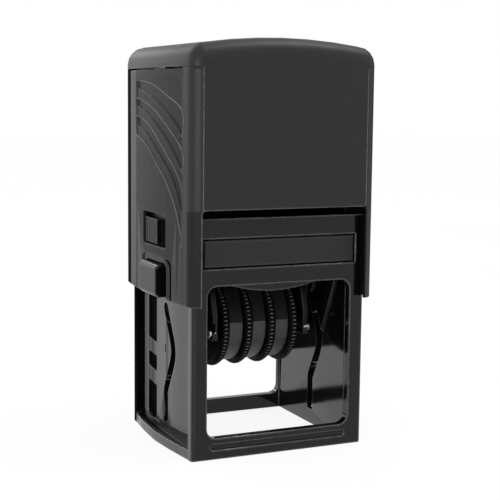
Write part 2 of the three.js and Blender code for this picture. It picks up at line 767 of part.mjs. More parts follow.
function makeIndexCover() {
  const seamHigh = hoodSeam + cover.seamGap / 2;
  const below = (z) => box(-hoodReach, hoodReach, -hoodReach, hoodReach, hoodBottom - 2 * overrun, z);
  const cap = cut(hoodForm(0), hoodForm(cover.cap, hoodBottom - overrun), below(seamHigh));
  const sheet = cut(hoodForm(0), hoodForm(cover.panel, hoodBottom - overrun));
  const panelHalf = hoodWindow - fit / 2;
  const face = hoodHalfDepth - cover.panel;
  const reach = hoodHalfDepth + overrun;
  const fronts = mirrored.map((side) => sheet.intersect(
    box(-panelHalf, panelHalf, side * face, side * reach, hoodWindowTopOn(side), seamHigh + fit),
  ));
  return join(cap, fronts);
}

// Bow inside the hood.
function makeBow() {
  const cupOutside = bow.cupRadius + bow.cupWall;
  const bar = box(-cheekOutside, cheekOutside, bow.front, bow.rear, barBottom, barTop);
  const cup = prism(disc(cupOutside, 0, 0), "z", barBottom, cupSeat + bow.cupCeiling, springCup.steps);
  const sides = mirrored.map((side) => {
    const legShape = outline([
      [bow.legFront, barBottom + fit],
      [bow.legFront, pivotHeight + bow.boss],
      [0, pivotHeight + bow.boss],
      [0, pivotHeight - bow.legBelow],
      [bow.rear, pivotHeight - bow.legBelow],
      [bow.rear, barBottom + fit],
    ]);
    const leg = join(
      prism(legShape, "x", side * legInside, side * legOutside),
      rod(bow.boss, side * legInside, side * legOutside, 0, pivotHeight),
    );
    const cheek = sideBox(side, cheekInside, cheekOutside, bow.front, bow.cheekRear,
      sideWindowBottom - bow.cheekDrop, barBottom + fit);
    const snap = sideBox(side, cheekOutside - fit, snapFace, sideWindow.front + fit, sideWindow.rear - fit,
      sideWindowBottom + fit, sideWindowTop - fit);
    const span = sideWindow.rear - sideWindow.front;
    const grooves = Array.from({ length: bow.ribs }, (_, i) => {
      const y = sideWindow.front + span * (i + 1) / (bow.ribs + 1);
      return sideBox(side, snapFace - bow.rib, snapFace + overrun, y - bow.rib / 2, y + bow.rib / 2,
        sideWindowBottom, sideWindowTop);
    });
    return join(leg, cheek, cut(snap, grooves));
  });
  const pivotHole = rod(pivotPin.radius + fit, -frameHalfWidth, frameHalfWidth, 0, pivotHeight);
  const cupHole = prism(disc(bow.cupRadius, 0, 0), "z", barBottom - overrun, cupSeat, springCup.steps);
  return cut(join(bar, cup, sides), pivotHole, cupHole);
}

// Return spring.
function springHeights() {
  const bottom = springFloor + fit + spring.wire / 2;
  const top = cupSeat - fit - spring.wire / 2;
  const middleTurns = spring.turns - 2;
  const middlePitch = (top - bottom - 2 * spring.endPitch) / middleTurns;
  return (turn) => {
    if (turn < 1) {
      return bottom + spring.endPitch * turn;
    }
    if (turn > spring.turns - 1) {
      return top - spring.endPitch * (spring.turns - turn);
    }
    return bottom + spring.endPitch + middlePitch * (turn - 1);
  };
}

function springLine() {
  const heightAt = springHeights();
  const steps = spring.turns * spring.stepsPerTurn;
  return Array.from({ length: steps + 1 }, (_, i) => {
    const turn = i / spring.stepsPerTurn;
    const angle = 2 * Math.PI * turn;
    return new THREE.Vector3(spring.radius * Math.cos(angle), spring.radius * Math.sin(angle), heightAt(turn));
  });
}

function makeSpring() {
  const line = springLine();
  const positions = [];
  const index = [];
  const radius = spring.wire / 2;
  line.forEach((point) => {
    const outward = new THREE.Vector3(point.x, point.y, 0).normalize();
    for (let k = 0; k < spring.sides; k += 1) {
      const angle = 2 * Math.PI * k / spring.sides;
      positions.push(
        point.x + outward.x * radius * Math.cos(angle),
        point.y + outward.y * radius * Math.cos(angle),
        point.z + radius * Math.sin(angle),
      );
    }
  });
  const sides = spring.sides;
  for (let i = 0; i + 1 < line.length; i += 1) {
    for (let k = 0; k < sides; k += 1) {
      const a = i * sides + k;
      const b = i * sides + (k + 1) % sides;
      index.push(a, b + sides, b, a, a + sides, b + sides);
    }
  }
  const last = (line.length - 1) * sides;
  for (let k = 1; k + 1 < sides; k += 1) {
    index.push(0, k, k + 1, last, last + k + 1, last + k);
  }
  const geometry = new THREE.BufferGeometry();
  geometry.setAttribute("position", new THREE.Float32BufferAttribute(positions, 3));
  geometry.setIndex(index);
  let least = Infinity;
  for (let i = 0; i < line.length; i += 1) {
    for (let k = i + Math.ceil(spring.stepsPerTurn / 2); k < line.length; k += 1) {
      least = Math.min(least, line[i].distanceTo(line[k]) - spring.wire);
    }
  }
  console.log(`return_spring: least gap to itself ${least.toFixed(2)} mm`);
  return geometry;
}

// Lock buttons.
function makeLockButton(side) {
  const face = hoodHalfWidth + hood.bulge + button.stand;
  // pressed in, the hook stays clear of the wall behind the recess
  const hookTip = frameInside + ladder.skin + button.stand + 2 * fit;
  const bottom = hoodBottom + button.lift;
  const block = prism(
    roundedRectangle(button.front, button.rear, bottom, buttonTop, button.radius),
    "x", side * (plateOutside - button.plate), side * face, arcSteps.corner, button.edge,
  );
  const plate = sideBox(side, plateOutside - button.plate, plateOutside, button.plateFront,
    button.plateRear, bottom, hoodBottom + button.plateTopRise);
  const core = sideBox(side, plateOutside - fit, face - 2 * button.edge, button.front,
    button.rear, bottom + button.radius, buttonTop - button.radius);
  const hook = sideBox(side, hookTip, plateOutside, button.hookFront, button.plateRear,
    hookBottom, hookBottom + button.hook);
  return join(block, plate, core, hook);
}

// Type carrier.
function makeTypeHolder() {
  const plate = prism(
    roundedRectangle(-holderHalfWidth, holderHalfWidth, -holderHalfDepth, holderHalfDepth, holder.radius),
    "z", holderBottom, holderTop, arcSteps.corner / 2,
  );
  const skirtHalf = holderHalfWidth - holder.skirtInset;
  const skirtShape = new THREE.Shape();
  skirtShape.moveTo(-skirtHalf, holderBottom + fit);
  skirtShape.lineTo(-skirtHalf, holderBottom);
  skirtShape.quadraticCurveTo(0, holderBottom - 2 * holder.skirtDrop, skirtHalf, holderBottom);
  skirtShape.lineTo(skirtHalf, holderBottom + fit);
  const skirts = mirrored.map((side) =>
    prism(skirtShape, "y", side * holderHalfDepth, side * (holderHalfDepth - holder.skirt),
      arcSteps.skirt));
  const lugShape = new THREE.Shape();
  lugShape.moveTo(-holder.lugHalfDepth, holderBottom + fit);
  lugShape.lineTo(-holder.lugRound, camHeight);
  lugShape.absarc(0, camHeight, holder.lugRound, Math.PI, 2 * Math.PI);
  lugShape.lineTo(holder.lugHalfDepth, holderBottom + fit);
  const lugs = mirrored.map((side) =>
    prism(lugShape, "x", side * lugInside, side * (lugInside + holder.lug)));
  const dateWindow = box(
    -bracketInside, bracketInside, -holder.windowHalfDepth, holder.windowHalfDepth,
    holderBottom - overrun, holderTop + overrun,
  );
  return cut(
    join(plate, skirts, lugs), dateWindow,
    rod(pivotPin.radius + fit, -holderHalfWidth, holderHalfWidth, 0, pivotHeight),
    rod(camPin.radius + fit, -holderHalfWidth, holderHalfWidth, 0, camHeight),
  );
}

function makeTextDie() {
  const reliefBottom = dieFace - die.relief;
  const sheet = box(-dieHalfWidth, dieHalfWidth, -die.halfDepth, die.halfDepth, holderTop + fit,
    reliefBottom + fit);
  const rim = cut(
    box(-dieHalfWidth, dieHalfWidth, -die.halfDepth, die.halfDepth, reliefBottom, dieFace),
    box(-dieHalfWidth + die.border, dieHalfWidth - die.border, -die.halfDepth + die.border,
      die.halfDepth - die.border, reliefBottom - overrun, dieFace + overrun),
  );
  const clear = die.halfDepth - die.border - die.windowHalfDepth;
  const lines = mirrored.map((side) => dieLineShares.map(([place, length]) => {
    const y = side * (die.windowHalfDepth + clear * place);
    const reach = dieHalfWidth * length;
    return box(-reach, reach, y - die.line / 2, y + die.line / 2, reliefBottom, dieFace);
  }));
  const dateWindow = box(
    -bracketInside, bracketInside, -die.windowHalfDepth, die.windowHalfDepth,
    holderTop - overrun, dieFace + overrun,
  );
  return cut(join(sheet, rim, lines), dateWindow);
}

function makeWheelBracket() {
  const shape = new THREE.Shape();
  shape.moveTo(bracket.halfDepth, bracketTop);
  shape.lineTo(-bracket.halfDepth, bracketTop);
  shape.lineTo(-bracket.frontReach, bracketFrontTop);
  shape.lineTo(-bracket.frontReach, bracketFrontBottom);
  shape.lineTo(-bracket.halfDepth, bracketFrontBottom);
  // the lower edge runs on to the round boss, which it meets without a corner
  const drop = axleHeight - bracketFrontBottom;
  const reach = Math.hypot(drop, bracket.halfDepth);
  const meeting = Math.PI + Math.atan2(drop, bracket.halfDepth) + Math.acos(bracket.boss / reach);
  shape.absarc(0, axleHeight, bracket.boss, meeting, 2 * Math.PI);
  const cheeks = mirrored.map((side) => prism(shape, "x", side * bracketInside, side * bracketOutside));
  const straps = mirrored.map((side) => box(
    -bracketOutside, bracketOutside, side * bracket.strapFront, side * bracket.halfDepth,
    bracketTop - bracket.strap, bracketTop,
  ));
  return cut(
    join(cheeks, straps),
    rod(axle.radius + fit, -bracketOutside - overrun, bracketOutside + overrun, 0, axleHeight),
    rod(rivet.radius + fit, -bracketOutside - overrun, bracketOutside + overrun, rivetY, rivetHeight,
      arcSteps.rivet),
  );
}

function makeRivet(side) {
  const inner = bracketInside + rivet.inset;
  const outer = bracketOutside + rivet.head;
  return rod(rivet.radius, side * inner, side * outer, rivetY, rivetHeight, arcSteps.rivet);
}

// Date wheels and bands.
function knurledDisc(x) {
  const points = [];
  const root = wheels.discRadius - wheels.toothDepth;
  for (let i = 0; i < 2 * wheels.teeth; i += 1) {
    const angle = Math.PI * i / wheels.teeth;
    const radius = i % 2 ? root : wheels.discRadius;
    points.push([radius * Math.cos(angle), axleHeight + radius * Math.sin(angle)]);
  }
  return prism(outline(points), "x", x - wheels.discWidth / 2, x + wheels.discWidth / 2);
}

function makeWheel(number, count) {
  const x = firstX + wheels.pitch * number;
  const half = wheels.discWidth / 2;
  const isLast = number === count - 1;
  const drumEnd = x + wheels.pitch - half + (isLast ? fit : -fit);
  const drumRadius = bandRadius - band.thickness - fit;
  const pieces = [knurledDisc(x), rod(drumRadius, x, drumEnd, 0, axleHeight, wheels.roundSteps)];
  if (isLast) {
    pieces.push(knurledDisc(x + wheels.pitch));
  }
  const left = x - half;
  const recess = cut(
    rod(wheels.discRadius - wheels.rim, left - overrun, left + wheels.recess, 0, axleHeight, wheels.roundSteps),
    rod(wheels.hub, left - 2 * overrun, left + overrun, 0, axleHeight),
  );
  const bore = rod(axle.radius + fit, left - overrun, x + wheels.pitch + overrun, 0, axleHeight);
  return cut(join(pieces), recess, bore);
}

// The loop of a band over its drum and over the bridge at the print face, drawn in by an inset.
function bandOutline(inset) {
  const radius = bandRadius - inset;
  const tipHalf = band.tipHalfWidth - inset;
  const tip = dieFace - inset - axleHeight;
  const reach = Math.hypot(tipHalf, tip);
  const tangent = Math.atan2(tip, tipHalf) - Math.acos(radius / reach);
  const points = [];
  for (let i = 0; i <= band.roundSteps; i += 1) {
    const angle = tangent - (Math.PI + 2 * tangent) * (i / band.roundSteps);
    points.push([radius * Math.cos(angle), axleHeight + radius * Math.sin(angle)]);
  }
  points.push([-tipHalf, axleHeight + tip], [tipHalf, axleHeight + tip]);
  return outline(points);
}

function makeBand(number) {
  const x = firstX + wheels.pitch * (number + 0.5);
  const half = (wheels.pitch - wheels.discWidth) / 2 - fit;
  return cut(
    prism(bandOutline(0), "x", x - half, x + half),
    prism(bandOutline(band.thickness), "x", x - half - overrun, x + half + overrun),
  );
}

// The bar under the bands' tips, with an end web that fits between the ends of the holder's window.
function makeBridge() {
  const top = dieFace - band.thickness - fit;
  const half = bracketInside - fit;
  const webs = mirrored.map((side) => sideBox(
    side, half - bridge.web, half, -bridge.halfWidth, bridge.halfWidth, bridgeBottom, top,
  ));
  const bar = box(
    -half, half, -bridge.halfWidth, bridge.halfWidth, top - bridge.web, top,
  );
  return join(bar, webs);
}

// Assembly.
const blackPlastic = { color: 0x232323, roughness: 0.38, metalness: 0 };
const satinPlastic = { color: 0x2b2b2b, roughness: 0.55, metalness: 0 };
const rubber = { color: 0x1c1c1c, roughness: 0.8, metalness: 0 };
const wheelPlastic = { color: 0x303030, roughness: 0.5, metalness: 0 };
const felt = { color: 0x17171f, roughness: 0.95, metalness: 0 };
const steel = { color: 0xc4c6c8, roughness: 0.28, metalness: 1 };

const stamp = new THREE.Group();

function place(parent, name, shape, finish) {
  const geometry = shape.isBufferGeometry ? shape : toGeometry(shape);
  const mesh = new THREE.Mesh(geometry, new THREE.MeshStandardMaterial(finish));
  mesh.name = name;
  parent.add(mesh);
}

const sideName = (side) => (side < 0 ? "left" : "right");

place(stamp, "frame", makeFrame(), blackPlastic);

const drawer = new THREE.Group();
stamp.add(drawer);
place(drawer, "pad_tray", makePadTray(), blackPlastic);
place(drawer, "ink_pad", makeInkPad(), felt);

const press = new THREE.Group();
stamp.add(press);
place(press, "hood_shell", makeHoodShell(), satinPlastic);
place(press, "index_cover", makeIndexCover(), satinPlastic);
place(press, "bow", makeBow(), blackPlastic);
place(press, "return_spring", makeSpring(), steel);
for (const side of mirrored) {
  place(press, `lock_button_${sideName(side)}`, makeLockButton(side), blackPlastic);
}

const carrier = new THREE.Group();
press.add(carrier);
place(carrier, "type_holder", makeTypeHolder(), blackPlastic);
place(carrier, "text_die", makeTextDie(), rubber);
place(carrier, "wheel_bracket", makeWheelBracket(), blackPlastic);
place(carrier, "band_bridge", makeBridge(), blackPlastic);
const axleEnd = bracketOutside + axle.overhang;
place(carrier, "wheel_axle", rod(axle.radius, -axleEnd, axleEnd, 0, axleHeight), steel);
for (const side of mirrored) {
  place(carrier, `bracket_rivet_${sideName(side)}`, makeRivet(side), steel);
  place(carrier, `pivot_pin_${sideName(side)}`,
    rod(pivotPin.radius, side * (lugInside - pivotPin.inner), side * (frameInside - pivotPin.endGap), 0,
      pivotHeight),
    blackPlastic);
  place(carrier, `cam_pin_${sideName(side)}`,
    rod(camPin.radius, side * (lugInside - camPin.inner), side * (frameInside + camPin.outer), 0, camHeight),
    blackPlastic);
}

dates.forEach((date, number) => {
  place(carrier, `${date}_band`, makeBand(number), rubber);
  place(carrier, `${date}_wheel`, makeWheel(number, dates.length), wheelPlastic);
});

export default stamp;
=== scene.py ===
import math

import bmesh
import bpy
from mathutils import Matrix, Vector
from mathutils.bvhtree import BVHTree


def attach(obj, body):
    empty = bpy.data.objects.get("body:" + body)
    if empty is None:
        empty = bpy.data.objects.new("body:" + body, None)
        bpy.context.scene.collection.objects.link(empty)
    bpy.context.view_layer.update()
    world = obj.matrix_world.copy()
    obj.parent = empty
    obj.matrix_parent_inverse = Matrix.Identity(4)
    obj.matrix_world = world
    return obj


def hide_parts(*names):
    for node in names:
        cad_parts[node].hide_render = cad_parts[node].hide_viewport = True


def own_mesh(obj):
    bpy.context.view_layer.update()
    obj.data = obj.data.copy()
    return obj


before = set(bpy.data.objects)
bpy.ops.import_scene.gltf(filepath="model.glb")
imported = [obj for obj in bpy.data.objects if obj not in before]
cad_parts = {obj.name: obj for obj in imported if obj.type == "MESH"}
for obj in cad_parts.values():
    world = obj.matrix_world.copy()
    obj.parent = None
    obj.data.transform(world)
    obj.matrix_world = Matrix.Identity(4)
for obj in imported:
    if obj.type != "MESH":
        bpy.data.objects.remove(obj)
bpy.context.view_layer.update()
mm = 0.001  # lengths are written in millimetres, where no other unit is named, and made metres by this
print("frame loaded:", len(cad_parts), "nodes")

# Camera at the photograph's angle: the lens for a 36 mm sensor and a square picture
camera = {
    "place": (-156.97, -346.59, 106.77),
    "yaw": 24.594,
    "pitch": 7.163,
    "roll": 0.607,
    "lens": 86.81,
    "sensor": 36.0,
    "clip": (0.01, 50),  # metres
}


def makeCamera():
    data = bpy.data.cameras.new("photoCamera")
    data.lens = camera["lens"]
    data.sensor_width = camera["sensor"]
    data.clip_start, data.clip_end = camera["clip"]
    holder = bpy.data.objects.new("photoCamera", data)
    bpy.context.scene.collection.objects.link(holder)
    yaw, pitch, roll = (math.radians(camera[k]) for k in ("yaw", "pitch", "roll"))
    ahead = Vector((math.sin(yaw) * math.cos(pitch), math.cos(yaw) * math.cos(pitch), -math.sin(pitch)))
    right = Vector((math.cos(yaw), -math.sin(yaw), 0))
    up = right.cross(ahead)
    tiltedRight = right * math.cos(roll) + up * math.sin(roll)
    tiltedUp = up * math.cos(roll) - right * math.sin(roll)
    turn = Matrix((tiltedRight, tiltedUp, -ahead)).transposed()
    holder.matrix_world = Matrix.Translation(Vector(camera["place"]) * mm) @ turn.to_4x4()
    bpy.context.scene.camera = holder


makeCamera()
bpy.context.scene.view_settings.view_transform = "Standard"

# Light: a white room, a large soft box behind on the left, and narrower lamps for the lines along the edges
studio = {
    "room": 1.0,
    "floorColour": 0.94,
    "floorRough": 0.9,
    "floorSize": 6.0,  # metres
    "glow": 0.9,  # how far the floor is plain white to the lens and in reflections
    "lamps": [
        # name, place, aim, width, height, watts
        ("backBox", (-330, 560, 210), (-10, 0, 60), 420, 420, 0.38),
        ("topStrip", (300, -96, 720), (0, 0, 80), 200, 30, 1.25),
        ("backStrip", (-90, 640, 370), (-20, 0, 70), 30, 160, 0.25),
        ("frontStrip", (-347, -340, 125), (-28, -29, 105), 60, 75, 0.5),
    ],
    "cards": [
        # name, place, width, height, shade
        ("rearCard", (420, 190, 150), 260, 300, 0.02),
    ],
}


def makeFloor():
    bm = bmesh.new()
    bmesh.ops.create_grid(bm, x_segments=1, y_segments=1, size=studio["floorSize"] / 2)
    mesh = bpy.data.meshes.new("floor")
    bm.to_mesh(mesh)
    bm.free()
    floor = bpy.data.objects.new("floor", mesh)
    bpy.context.scene.collection.objects.link(floor)
    paint = bpy.data.materials.new("floorPaint")
    paint.use_nodes = True
    nodes, link = paint.node_tree.nodes, paint.node_tree.links.new
    shader = nodes["Principled BSDF"]
    shade = studio["floorColour"]
    shader.inputs["Base Color"].default_value = (shade, shade, shade, 1)
    shader.inputs["Roughness"].default_value = studio["floorRough"]
    shader.inputs["Specular IOR Level"].default_value = 0.0
    white = nodes.new("ShaderNodeEmission")
    seen = nodes.new("ShaderNodeLightPath")
    either = nodes.new("ShaderNodeMath")
    either.operation = "MAXIMUM"
    link(seen.outputs["Is Camera Ray"], either.inputs[0])
    link(seen.outputs["Is Glossy Ray"], either.inputs[1])
    anyRay = nodes.new("ShaderNodeMath")
    anyRay.operation = "MAXIMUM"
    link(either.outputs[0], anyRay.inputs[0])
    link(seen.outputs["Is Transmission Ray"], anyRay.inputs[1])
    share = nodes.new("ShaderNodeMath")
    share.operation = "MULTIPLY"
    share.inputs[1].default_value = studio["glow"]
    link(anyRay.outputs[0], share.inputs[0])
    mix = nodes.new("ShaderNodeMixShader")
    link(share.outputs[0], mix.inputs[0])
    link(shader.outputs[0], mix.inputs[1])
    link(white.outputs[0], mix.inputs[2])
    link(mix.outputs[0], nodes["Material Output"].inputs["Surface"])
    floor.data.materials.append(paint)


def makeRoom():
    world = bpy.data.worlds.new("whiteRoom")
    bpy.context.scene.world = world
    world.use_nodes = True
    background = world.node_tree.nodes["Background"]
    background.inputs["Color"].default_value = (1, 1, 1, 1)
    background.inputs["Strength"].default_value = studio["room"]
    for name, place, aim, width, height, watts in studio["lamps"]:
        data = bpy.data.lights.new(name, "AREA")
        data.shape = "RECTANGLE"
        data.size = width * mm
        data.size_y = height * mm
        data.energy = watts
        lamp = bpy.data.objects.new(name, data)
        bpy.context.scene.collection.objects.link(lamp)
        away = (Vector(place) - Vector(aim)) * mm
        lamp.rotation_mode = "QUATERNION"
        lamp.rotation_quaternion = away.to_track_quat("Z", "Y")
        lamp.location = Vector(place) * mm


def makeCard(name, place, width, height, shade):
    # a dark card beside the object: it shows in the corners that face it, and the lens doesn't see it
    bm = bmesh.new()
    bmesh.ops.create_grid(bm, x_segments=1, y_segments=1, size=0.5)
    bmesh.ops.scale(bm, vec=(width * mm, height * mm, 1), verts=bm.verts)
    away = Vector((place[0], place[1], 0))
    turn = away.to_track_quat("Z", "Y").to_matrix().to_4x4()
    bmesh.ops.transform(bm, matrix=Matrix.Translation(Vector(place) * mm) @ turn, verts=bm.verts)
    mesh = bpy.data.meshes.new(name)
    bm.to_mesh(mesh)
    bm.free()
    card = bpy.data.objects.new(name, mesh)
    bpy.context.scene.collection.objects.link(card)
    paint = bpy.data.materials.new(name + "Paint")
    paint.use_nodes = True
    shader = paint.node_tree.nodes["Principled BSDF"]
    shader.inputs["Base Color"].default_value = (shade, shade, shade, 1)
    shader.inputs["Roughness"].default_value = 1.0
    shader.inputs["Specular IOR Level"].default_value = 0.0
    mesh.materials.append(paint)
    card.visible_camera = False


makeFloor()
makeRoom()
for cardValues in studio["cards"]:
    makeCard(*cardValues)
print("camera, floor, room and lamps made")


# Shared effects as node groups
def newGroup(name, inputs, outputs):
    group = bpy.data.node_groups.new(name, "ShaderNodeTree")
    for label, kind, value in inputs:
        socket = group.interface.new_socket(label, in_out="INPUT", socket_type=kind)
        socket.default_value = value
    for label, kind in outputs:
        group.interface.new_socket(label, in_out="OUTPUT", socket_type=kind)
    nodes = group.nodes
    return group, nodes.new("NodeGroupInput"), nodes.new("NodeGroupOutput")


def addNode(tree, kind, values=None, **settings):
    node = tree.nodes.new(kind)
    for key, value in settings.items():
        setattr(node, key, value)
    for key, value in (values or {}).items():
        node.inputs[key].default_value = value
    return node


mottleScaleShare = 0.12  # of the grain's own scale


def makeGrainGroup():
    # moulded skin: fine spark-eroded grain over a slow waviness, as a height and as a change of roughness
    group, given, out = newGroup(
        "mouldedSkin",
        [("Grain Scale", "NodeSocketFloat", 5000.0), ("Grain Share", "NodeSocketFloat", 0.5),
         ("Wave Scale", "NodeSocketFloat", 60.0)],
        [("Height", "NodeSocketFloat"), ("Mottle", "NodeSocketFloat")],
    )
    link = group.links.new
    place = addNode(group, "ShaderNodeTexCoord")
    grain = addNode(group, "ShaderNodeTexNoise", {"Detail": 3.0, "Roughness": 0.6})
    wave = addNode(group, "ShaderNodeTexNoise", {"Detail": 2.0, "Roughness": 0.4})
    mottle = addNode(group, "ShaderNodeTexNoise", {"Detail": 4.0, "Roughness": 0.65})
    link(place.outputs["Object"], grain.inputs["Vector"])
    link(place.outputs["Object"], wave.inputs["Vector"])
    link(place.outputs["Object"], mottle.inputs["Vector"])
    link(given.outputs["Grain Scale"], grain.inputs["Scale"])
    link(given.outputs["Wave Scale"], wave.inputs["Scale"])
    coarser = addNode(group, "ShaderNodeMath", {1: mottleScaleShare}, operation="MULTIPLY")
    link(given.outputs["Grain Scale"], coarser.inputs[0])
    link(coarser.outputs[0], mottle.inputs["Scale"])
    mix = addNode(group, "ShaderNodeMix", data_type="FLOAT")
    link(given.outputs["Grain Share"], mix.inputs[0])
    link(wave.outputs["Fac"], mix.inputs[2])
    link(grain.outputs["Fac"], mix.inputs[3])
    link(mix.outputs[0], out.inputs["Height"])
    link(mottle.outputs["Fac"], out.inputs["Mottle"])
    return group


# Worn edges that also carry a painted highlight: how deep behind the surface plastic counts, in metres, and
# how the noise breaks the worn, highlighted lines up
edgeWearAndHighlight = {"reach": 0.0005, "gain": 2.2, "noise": 700.0, "from": 0.3, "to": 0.6, "least": 0.35}


def makeEdgeWearAndHighlightGroup():
    # outer edges, found by how little plastic lies behind them, broken up by noise: where handling rubs,
    # and a painted highlight along the edges
    group, given, out = newGroup(
        "edgeRubAndHighlight",
        [("Reach", "NodeSocketFloat", edgeWearAndHighlight["reach"]), ("Gain", "NodeSocketFloat", edgeWearAndHighlight["gain"])],
        [("Mask", "NodeSocketFloat")],
    )
    link = group.links.new
    behind = addNode(group, "ShaderNodeAmbientOcclusion", samples=8, inside=True, only_local=True)
    link(given.outputs["Reach"], behind.inputs["Distance"])
    thin = addNode(group, "ShaderNodeMath", {0: 1.0}, operation="SUBTRACT")
    link(behind.outputs["AO"], thin.inputs[1])
    gain = addNode(group, "ShaderNodeMath", operation="MULTIPLY", use_clamp=True)
    link(thin.outputs[0], gain.inputs[0])
    link(given.outputs["Gain"], gain.inputs[1])
    place = addNode(group, "ShaderNodeTexCoord")
    noise = addNode(group, "ShaderNodeTexNoise", {"Scale": edgeWearAndHighlight["noise"], "Detail": 4.0, "Roughness": 0.7})
    link(place.outputs["Object"], noise.inputs["Vector"])
    spread = addNode(group, "ShaderNodeMapRange",
                     {"From Min": edgeWearAndHighlight["from"], "From Max": edgeWearAndHighlight["to"], "To Min": edgeWearAndHighlight["least"]})
    link(noise.outputs["Fac"], spread.inputs["Value"])
    broken = addNode(group, "ShaderNodeMath", operation="MULTIPLY", use_clamp=True)
    link(gain.outputs[0], broken.inputs[0])
    link(spread.outputs["Result"], broken.inputs[1])
    link(broken.outputs[0], out.inputs["Mask"])
    return group


grainGroup = makeGrainGroup()
edgeWearAndHighlightGroup = makeEdgeWearAndHighlightGroup()

